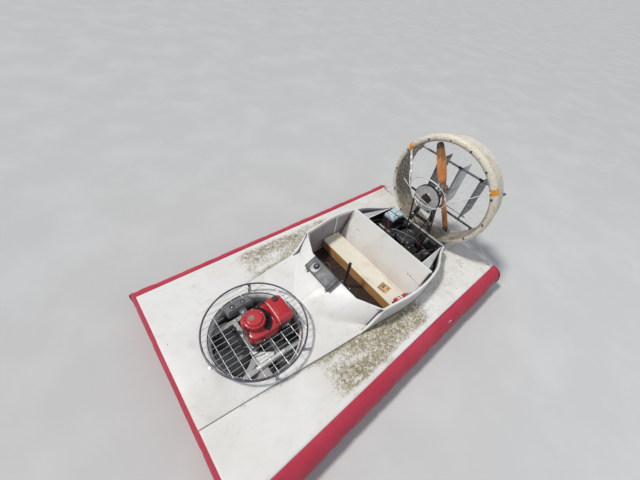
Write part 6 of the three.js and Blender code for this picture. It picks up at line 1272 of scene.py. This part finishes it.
    # pull handle with its cord stub at the bow side
    h = P(.030, .600, .548); r.obox(h, (1, .1, 0), (0, 1, 0), (.070, .016, .018), "plastic", .006, 3); r.drum(h + Vector((0, .006, 0)), h + Vector((0, .018, .002)), .0065, "plastic", 16, .001)
    r.make("craft", "engine_red", ("lift_engine_shroud",), angle=40)
    a = Piece("fine_lift_air_cleaner")
    a.box(-.286, -.196, .556, .800, .4362, .5180, "grey", .016, 4); a.box(-.2875, -.1945, .5545, .8015, .4840, .4900, "grey", .002, 2); a.box(-.276, -.206, .570, .786, .5160, .5300, "grey", .007, 3)
    for s in (.622, .722):
        for rr, z0, z1, mt in ((.0255, .5270, .5325, "grey"), (.0195, .5300, .5330, "plastic")):
            a.lathe([(rr, z0), (rr, z1 - .001), (rr - .001, z1), (rr - .004, z1), (rr - .005, z1 - .001), (rr - .005, z0)] if mt == "grey" else [(rr, .5302), (0, .5302)], P(-.241, s, 0), top, mt, 32)
        a.bolt(P(-.241, s, .5302), top, .0050, "steel", h=.006)
    for i in range(12): a.box(-.2872, -.2850, .572 + i * .019, .581 + i * .019, .4460, .4800, "plastic", .0006, 1)
    for s in (.575, .785): a.drum(P(-.1960, s, .470), P(-.1900, s, .470), .006, "steel", 14, .001)
    a.box(-.2005, -.1163, .657, .719, .4462, .4995, "grey", .008, 3); a.lathe([(.0300, -.004), (.0318, -.003), (.0318, .003), (.0300, .004)], P(-.160, .688, .4730), (1, 0, 0), "steel", 32, squash=(1, 1))
    a.make("craft", "muffler_grey", ("lift_air_cleaner",))
    # fan with six curved blades
    f = Piece("fine_lift_fan"); o = P(0, FAN_S, 0)
    f.lathe([(.0170, .1510), (.0480, .1510), (.0512, .1535), (.0520, .1570), (.0520, .1930), (.0505, .1965), (.0470, .1980), (.0300, .1985), (.0280, .2015), (.0170, .2020)], o, top, "fan", 48, closed=True)
    for i in range(6):
        an = math.pi * i / 3; u = Vector((math.cos(an), math.sin(an), 0)); v = Vector((-u.y, u.x, 0)); rings = []
        for j in range(15):
            t = j / 14; rr = .044 + t * (.3685 - .044); ch = lerp(.070, .100, smooth(t * 1.4)) * (1 if t < .93 else lerp(1, .80, (t - .93) / .07)); g = .62 - .30 * t; ring = []
            for w in range(18):
                w_ = 2 * math.pi * w / 18; a_, b_ = .5 * math.cos(w_) * ch, .5 * math.sin(w_) * lerp(.0095, .0055, t) + .010 * (1 - (math.cos(w_)) ** 2) * .6
                ring.append(f.bm.verts.new(o + u * rr + v * (a_ * math.cos(g) + b_ * math.sin(g)) + Vector((0, 0, .174 - a_ * math.sin(g) + b_ * math.cos(g)))))
            rings.append(ring)
        f.faces(rings, "fan", caps=True)
        for rr in (.040,): f.bolt(o + u * rr + Vector((0, 0, .1982)), top, .0045, "steel")
    f.make("lift_fan_rotor", "fan_grey", ("lift_fan",))
lift_unit()

def guard():
    g = Piece("fine_fan_guard"); R, r = .450, .0080; c = P(0, FAN_S, GUARD_Z)
    g.tube(ring_pts(c, R, 160), r, "guard", 14, closed=True)
    a = math.radians(96); u = Vector((math.cos(a), math.sin(a), 0)); v = Vector((-u.y, u.x, 0)); g.drum(c + u * R - v * .012, c + u * R + v * .012, r * 1.18, "guard", 18, .002)       # weld sleeve
    def wave(p, k): return p + Vector((noise.noise(Vector((p.y * 3, k, 0))) * .0016, noise.noise(Vector((p.x * 3, k, 5))) * .0016, noise.noise(Vector((p.x * 4, p.y * 4, k))) * .0012))
    def runs(lo, hi, cut): return [(lo, cut[0]), (cut[1], hi)] if cut else [(lo, hi)]
    wr = .0021
    for i in range(18):
        d = -.425 + .050 * i; h = math.sqrt(R * R - d * d); cut = (.524, 1.042) if -.306 < d < .162 else None
        for a_, b_ in runs(FAN_S - h, FAN_S + h, cut):
            if b_ - a_ < .004: continue
            n = max(2, int((b_ - a_) / .05)); g.tube([wave(P(d, lerp(a_, b_, j / n), GUARD_Z + .0019), d) if 0 < j < n else P(d, lerp(a_, b_, j / n), GUARD_Z + .0019) for j in range(n + 1)], wr, "wire", 8)
    for i in range(8):
        d = -.350 + .100 * i; h = math.sqrt(R * R - d * d); s = FAN_S + d; cut = (-.306, .162) if .524 < s < 1.042 else None
        for a_, b_ in runs(-h, h, cut):
            if b_ - a_ < .004: continue
            n = max(2, int((b_ - a_) / .05)); g.tube([wave(P(lerp(a_, b_, j / n), s, GUARD_Z - .0016), d + 7) if 0 < j < n else P(lerp(a_, b_, j / n), s, GUARD_Z - .0016) for j in range(n + 1)], wr, "wire", 8)
    g.make("craft", "dark_steel", ("fan_guard",))
    for where, deg in (("bow", -84), ("port", -9), ("port_aft", 34), ("starboard", 157)):
        finer("guard_bracket_" + where, "alu", .0010, 2, slot="rudder_aluminium")
    f = Piece("guard_fixings")
    for deg in (-84, -9, 34, 157):
        a = math.radians(deg); u = Vector((math.cos(a), math.sin(a), 0)); v = Vector((-u.y, u.x, 0)); o = P(0, FAN_S, 0)
        for k in (-.010, .010): f.bolt(o + u * (R - .016) + v * k + Vector((0, 0, CD + .0043)), (0, 0, 1), .0044, "steel")
        for k in (-.009, .009):                                                                # U-clip over the rod
            pts = [o + v * k + u * (R + .0095 * math.cos(t)) + Vector((0, 0, GUARD_Z + .0095 * math.sin(t))) for t in [math.pi * i / 10 for i in range(11)]]
            f.tube([pts[0] - Vector((0, 0, .013))] + pts + [pts[-1] - Vector((0, 0, .013))], .0016, "steel", 8)
        f.bolt(o + u * (R - .0005) + Vector((0, 0, CD + .060)), -u, .0044, "steel")
    f.make("craft")
guard()

# ---------------------------------------------------------------- skirt
BAG = [(.0003, .322), (.038, .316), (.092, .280), (.128, .222), (.136, .150), (.112, .076), (.062, .024), (.0003, .006)]
BS = .040 / .136
def bag(name, a, b, na, nb, swell):
    sec = [(q.x, q.y) for q in catmull([(o, z, 0) for o, z in BAG], 4)]
    back = [(.0003, lerp(.006, .322, t)) for t in (.2, .4, .6, .8)]; m = len(sec) + len(back)
    L = (Vector(b) - Vector(a)).length; n = int(L / (.028)); goal, rings, bm = [], [], bmesh.new()
    for i in range(n + 1):
        t = i / n; base = lerp(Vector(a), Vector(b), t); d = lerp(Vector(na), Vector(nb), t)
        # the direction is blended from one end's mitre to the other's along the piece
        side = Vector(na) if abs(na[0]) < 0 else d
        calm = smooth(min(t, 1 - t) * L / .16); f = lerp(1.0, .955, calm); ring = []
        for j, (o, z) in enumerate(sec + back):
            goal.append(P(base.x + side.x * o, base.y + side.y * o, z)); oo = o * f if j < len(sec) else o
            ring.append(bm.verts.new(P(base.x + side.x * oo, base.y + side.y * oo, .165 + (z - .165) * (lerp(1, .985, calm) if 0 < j < len(sec) - 1 else 1))))
        rings.append(ring)
    for r0, r1 in zip(rings, rings[1:]):
        for j in range(m): bm.faces.new((r0[j], r0[(j + 1) % m], r1[(j + 1) % m], r1[j]))
    for r0 in (rings[0], rings[-1]): bm.faces.new(r0)
    bmesh.ops.recalc_face_normals(bm, faces=bm.faces)
    me = bpy.data.meshes.new("fine_" + name); bm.to_mesh(me); bm.free(); me.materials.append(M["skirt"])
    ob = bpy.data.objects.new("fine_" + name, me); bpy.context.scene.collection.objects.link(ob)
    start = [v.co.copy() for v in me.vertices]
    grp = ob.vertex_groups.new(name="pin"); held = []
    for i in range(n + 1):
        for j in range(m):
            if i in (0, n) or j >= len(sec) or j in (0, len(sec) - 1): held.append(i * m + j)
    grp.add(held, 1.0, "REPLACE")
    cl = ob.modifiers.new("cloth", "CLOTH"); st = cl.settings; st.quality = 5; st.mass = .25; st.tension_stiffness = 12; st.compression_stiffness = 12; st.shear_stiffness = 6; st.bending_stiffness = .6
    st.vertex_group_mass = "pin"; st.use_pressure = True; st.uniform_pressure_force = 4.0; st.shrink_min = -.018; st.effector_weights.gravity = 0
    cl.collision_settings.use_collision = False; cl.collision_settings.use_self_collision = False; cl.point_cache.frame_start = 1; cl.point_cache.frame_end = 20
    for fr in range(1, 21): bpy.context.scene.frame_set(fr)
    ev = ob.evaluated_get(bpy.context.evaluated_depsgraph_get()); got = [v.co.copy() for v in ev.data.vertices]
    ob.modifiers.remove(cl); bpy.context.scene.frame_set(1)
    for i, v in enumerate(me.vertices):
        move = got[i] - goal[i]; v.co = goal[i] + (move if move.length <= swell else move.normalized() * swell)
        j = i % m
        if 1 < j < len(sec) - 2 and 0 < i // m < n:
            out = (goal[i] - start[i]); w = noise.noise(v.co * 3) * .0020 + noise.noise(v.co * 14) * .0007; base = v.co - P(lerp(a[0], b[0], (i // m) / n), lerp(a[1], b[1], (i // m) / n), .165); base.z *= .6
            v.co += base.normalized() * w
        v.co.z = max(.004, v.co.z)
    for q in me.polygons: q.use_smooth = True
    ends = {j for j in range(m)} | {n * m + j for j in range(m)}                                # both end rings keep their shape
    cr = me.attributes.new("crease_edge", "FLOAT", "EDGE")
    for e in me.edges:
        a_, b_ = e.vertices
        if a_ in ends and b_ in ends and a_ // m == b_ // m: cr.data[e.index].value = 1.0
    sb = ob.modifiers.new("finer", "SUBSURF"); sb.levels = sb.render_levels = 1
    me.update(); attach(ob, "craft"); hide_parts(name)
    return ob
for side, k in (("port", 1), ("starboard", -1)):
    bag("skirt_" + side, (k * .950, .0008), (k * .890, 3.4192), (k, -BS), (k, BS), .005)
bag("skirt_bow", (.9492, 0), (-.9492, 0), (1, -BS), (-1, -BS), .006)
bag("skirt_stern", (.8892, 3.42), (-.8892, 3.42), (1, BS), (-1, BS), .006)

def hems():
    p = Piece("skirt_hem"); corner = [(.950, .0), (.890, 3.420), (-.890, 3.420), (-.950, .0)]
    for a, b in zip(corner, corner[1:] + corner[:1]):
        A, B = P(*a, .3105), P(*b, .3105); d = (B - A).normalized(); out = Vector((d.y, -d.x, 0)); out = out if out.dot(A + B) > 0 else -out; n = 60
        path = [lerp(A, B, i / n) + out * (.0014 + .0004 * noise.noise(Vector((i * .7, a[0] * 9, 0)))) for i in range(n + 1)]
        p.sweep(path, [(-.0012, -.0095), (.0022, -.0100), (.0030, -.0070), (.0030, .0070), (.0022, .0100), (-.0012, .0095)] if (d.cross(Vector((0, 0, 1)))).dot(out) > 0 else [(.0012, -.0095), (-.0022, -.0100), (-.0030, -.0070), (-.0030, .0070), (-.0022, .0100), (.0012, .0095)], "skirt")
        for i in range(int((B - A).length / .15)):
            q = A + d * (.07 + .15 * i) + out * .0046; p.lathe([(0, 0), (.0075, 0), (.0075, .0008), (.0068, .0012), (0, .0012)], q, out, "steel", 16); p.screw(q + out * .0010, out, .0038, "steel")
    # double seam strips over the mitres
    sec = [q for q in catmull([(o, z, 0) for o, z in BAG], 4) if q.y > .066]
    for (x, s), (dx, ds) in zip(corner, ((1, -BS), (1, BS), (-1, BS), (-1, -BS))):
        D = Vector((dx, ds, 0)); path = [P(x, s, 0) + D * (q.x * 1.004 + .0006) + Vector((0, 0, q.y)) for q in sec]; side = D.normalized().cross(Vector((0, 0, 1)))
        ups = []
        for i in range(len(path)):
            t = (path[min(i + 1, len(path) - 1)] - path[max(i - 1, 0)]).normalized(); ups.append(t.cross(side).normalized())
        p.sweep(path, [(-.015, -.0016), (-.013, .0006), (-.004, .0010), (.004, .0010), (.013, .0006), (.015, -.0016)] , "skirt", ups=ups)
    p.make("craft", "skirt_red", angle=50)
hems()

# ---------------------------------------------------------------- clippings and grit on the decks
def clippings():
    count = 13500; rnd = random.Random(5); p = Piece("deck_clippings"); ks = {m: p.mi(m) for m in ("straw", "green", "umber")}
    def sliver(c, yaw, L, w, h, mat):
        d = Vector((math.cos(yaw), math.sin(yaw), rnd.uniform(-.02, .10))).normalized(); s_ = Vector((-d.y, d.x, 0)).normalized(); u = d.cross(s_) * -1; u = u if u.z > 0 else -u
        vs = [p.bm.verts.new(c - d * L / 2), p.bm.verts.new(c + s_ * w), p.bm.verts.new(c - s_ * w), p.bm.verts.new(c + u * h), p.bm.verts.new(c + d * L / 2 + u * h * .4)]
        for t in ((0, 1, 3), (0, 3, 2), (4, 3, 1), (4, 2, 3), (0, 2, 1), (4, 1, 2)): q = p.bm.faces.new([vs[i] for i in t]); q.material_index = ks[mat]
    made = tries = 0
    while made < count and tries < 400000:
        tries += 1; k = 1 if rnd.random() < .62 else -1; s = rnd.uniform(.6, 3.3); x = rnd.uniform(inside(s) + .004, outer(s) - .02)
        if rnd.random() > litter(x, s, k) ** 1.6 or s > 2.35 and rnd.random() < .7: continue
        clump = noise.noise(Vector((x * 34, s * 34, k * 5))) * .5 + .5
        if rnd.random() > smooth((clump - .28) / .34): continue
        big = rnd.random(); L = lerp(.005, .021, big ** 2); mat = "straw" if rnd.random() < .50 else ("green" if rnd.random() < .34 else "umber")
        sliver(P(k * x, s, DK + rnd.uniform(.0006, .0022)), rnd.uniform(0, 6.283), L, rnd.uniform(.0009, .0026), rnd.uniform(.0006, .0016), mat); made += 1
    for i in range(260):                                                                       # a few on the centre deck, by the cowl and in the cockpit
        where = rnd.random()
        if where < .45: a = rnd.uniform(-.9, 1.3); rr = rnd.uniform(.46, .56); c = P(rr * math.cos(a), FAN_S + rr * math.sin(a), CD + .0008)
        elif where < .70: c = P(rnd.uniform(-.10, .30), rnd.uniform(1.145, 1.20), CD + .0008)
        elif where < .85: c = P(rnd.uniform(-.5, .5), rnd.uniform(1.66, 1.96), FLOOR + .0012)
        else: c = P(rnd.uniform(-.55, .55), rnd.uniform(2.02, 2.20), SEAT_Z + .0168)
        if where < .70 and abs(c.x) > inner(c.y + MID) - .01: continue
        if .45 <= where < .70 and c.y + MID > 1.145 + abs(c.x) * .5: continue
        sliver(c, rnd.uniform(0, 6.283), rnd.uniform(.004, .012), rnd.uniform(.0006, .0012), .0008, rnd.choice(["straw", "umber", "green"]))
    for i in range(210):                                                                       # a thin line of it along the seam towards the bow
        s = rnd.uniform(.30, 1.20); k = 1 if rnd.random() < .7 else -1
        if noise.noise(Vector((s * 9, k * 4, 2))) > -.12: sliver(P(k * (inside(s) + .005 + abs(rnd.gauss(0, .016))), s, DK + .0010), rnd.uniform(0, 6.283), rnd.uniform(.004, .013), rnd.uniform(.0008, .0018), .0010, rnd.choice(["straw", "umber", "green"]))
    for i in range(90):
        x = rnd.gauss(.33, .16)
        if abs(x) < .56: sliver(P(x, rnd.uniform(2.185, 2.226), SEAT_Z + .0168), rnd.uniform(0, 6.283), rnd.uniform(.004, .013), rnd.uniform(.0008, .0018), .0010, rnd.choice(["straw", "straw", "umber"]))
    for x, s, yaw, L in ((.62, 3.09, .6, .11), (.66, 3.05, -.3, .07), (.60, 3.13, 1.2, .05), (-.58, 3.02, 2.1, .06)): sliver(P(x, s, DK + .0020), yaw, L, .0018, .0022, "umber")
    me = bpy.data.meshes.new("deck_clippings"); bmesh.ops.recalc_face_normals(p.bm, faces=p.bm.faces); p.bm.to_mesh(me); p.bm.free()
    for m in p.mats: me.materials.append(m)
    ob = bpy.data.objects.new("deck_clippings", me); bpy.context.scene.collection.objects.link(ob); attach(ob, "craft")
clippings()

# ---------------------------------------------------------------- stage and light
def stage():
    f = Finish("studio_floor", rough=.9); f.base((.56, .56, .55)).over((.60, .60, .59), f.band(f.noise(1.2, 3), .4, .7)); mat = f.done()
    bpy.ops.mesh.primitive_plane_add(size=1600, location=(0, 0, 0)); fl = bpy.context.object; fl.name = "studio_floor"; fl.data.materials.append(mat)
    def lamp(name, kind, **kw):
        d = bpy.data.lights.new(name, kind); o = bpy.data.objects.new(name, d); bpy.context.scene.collection.objects.link(o)
        for k, v in kw.items(): setattr(d, k, v)
        return o
    sun = lamp("key", "SUN", energy=2.42, angle=.14, color=(1, .975, .94)); d = Vector((.42, .62, -1.20)); sun.rotation_euler = d.to_track_quat("-Z", "Y").to_euler()
    soft = lamp("fill", "AREA", energy=58, size=6, color=(.90, .95, 1)); soft.location = (3.2, 1.5, 5.4); soft.rotation_euler = (Vector((0, .3, .4)) - soft.location).to_track_quat("-Z", "Y").to_euler()
    w = bpy.data.worlds.new("studio"); bpy.context.scene.world = w; w.use_nodes = True; bg = w.node_tree.nodes["Background"]; bg.inputs[0].default_value = (.80, .87, 1, 1); bg.inputs[1].default_value = .34
stage()
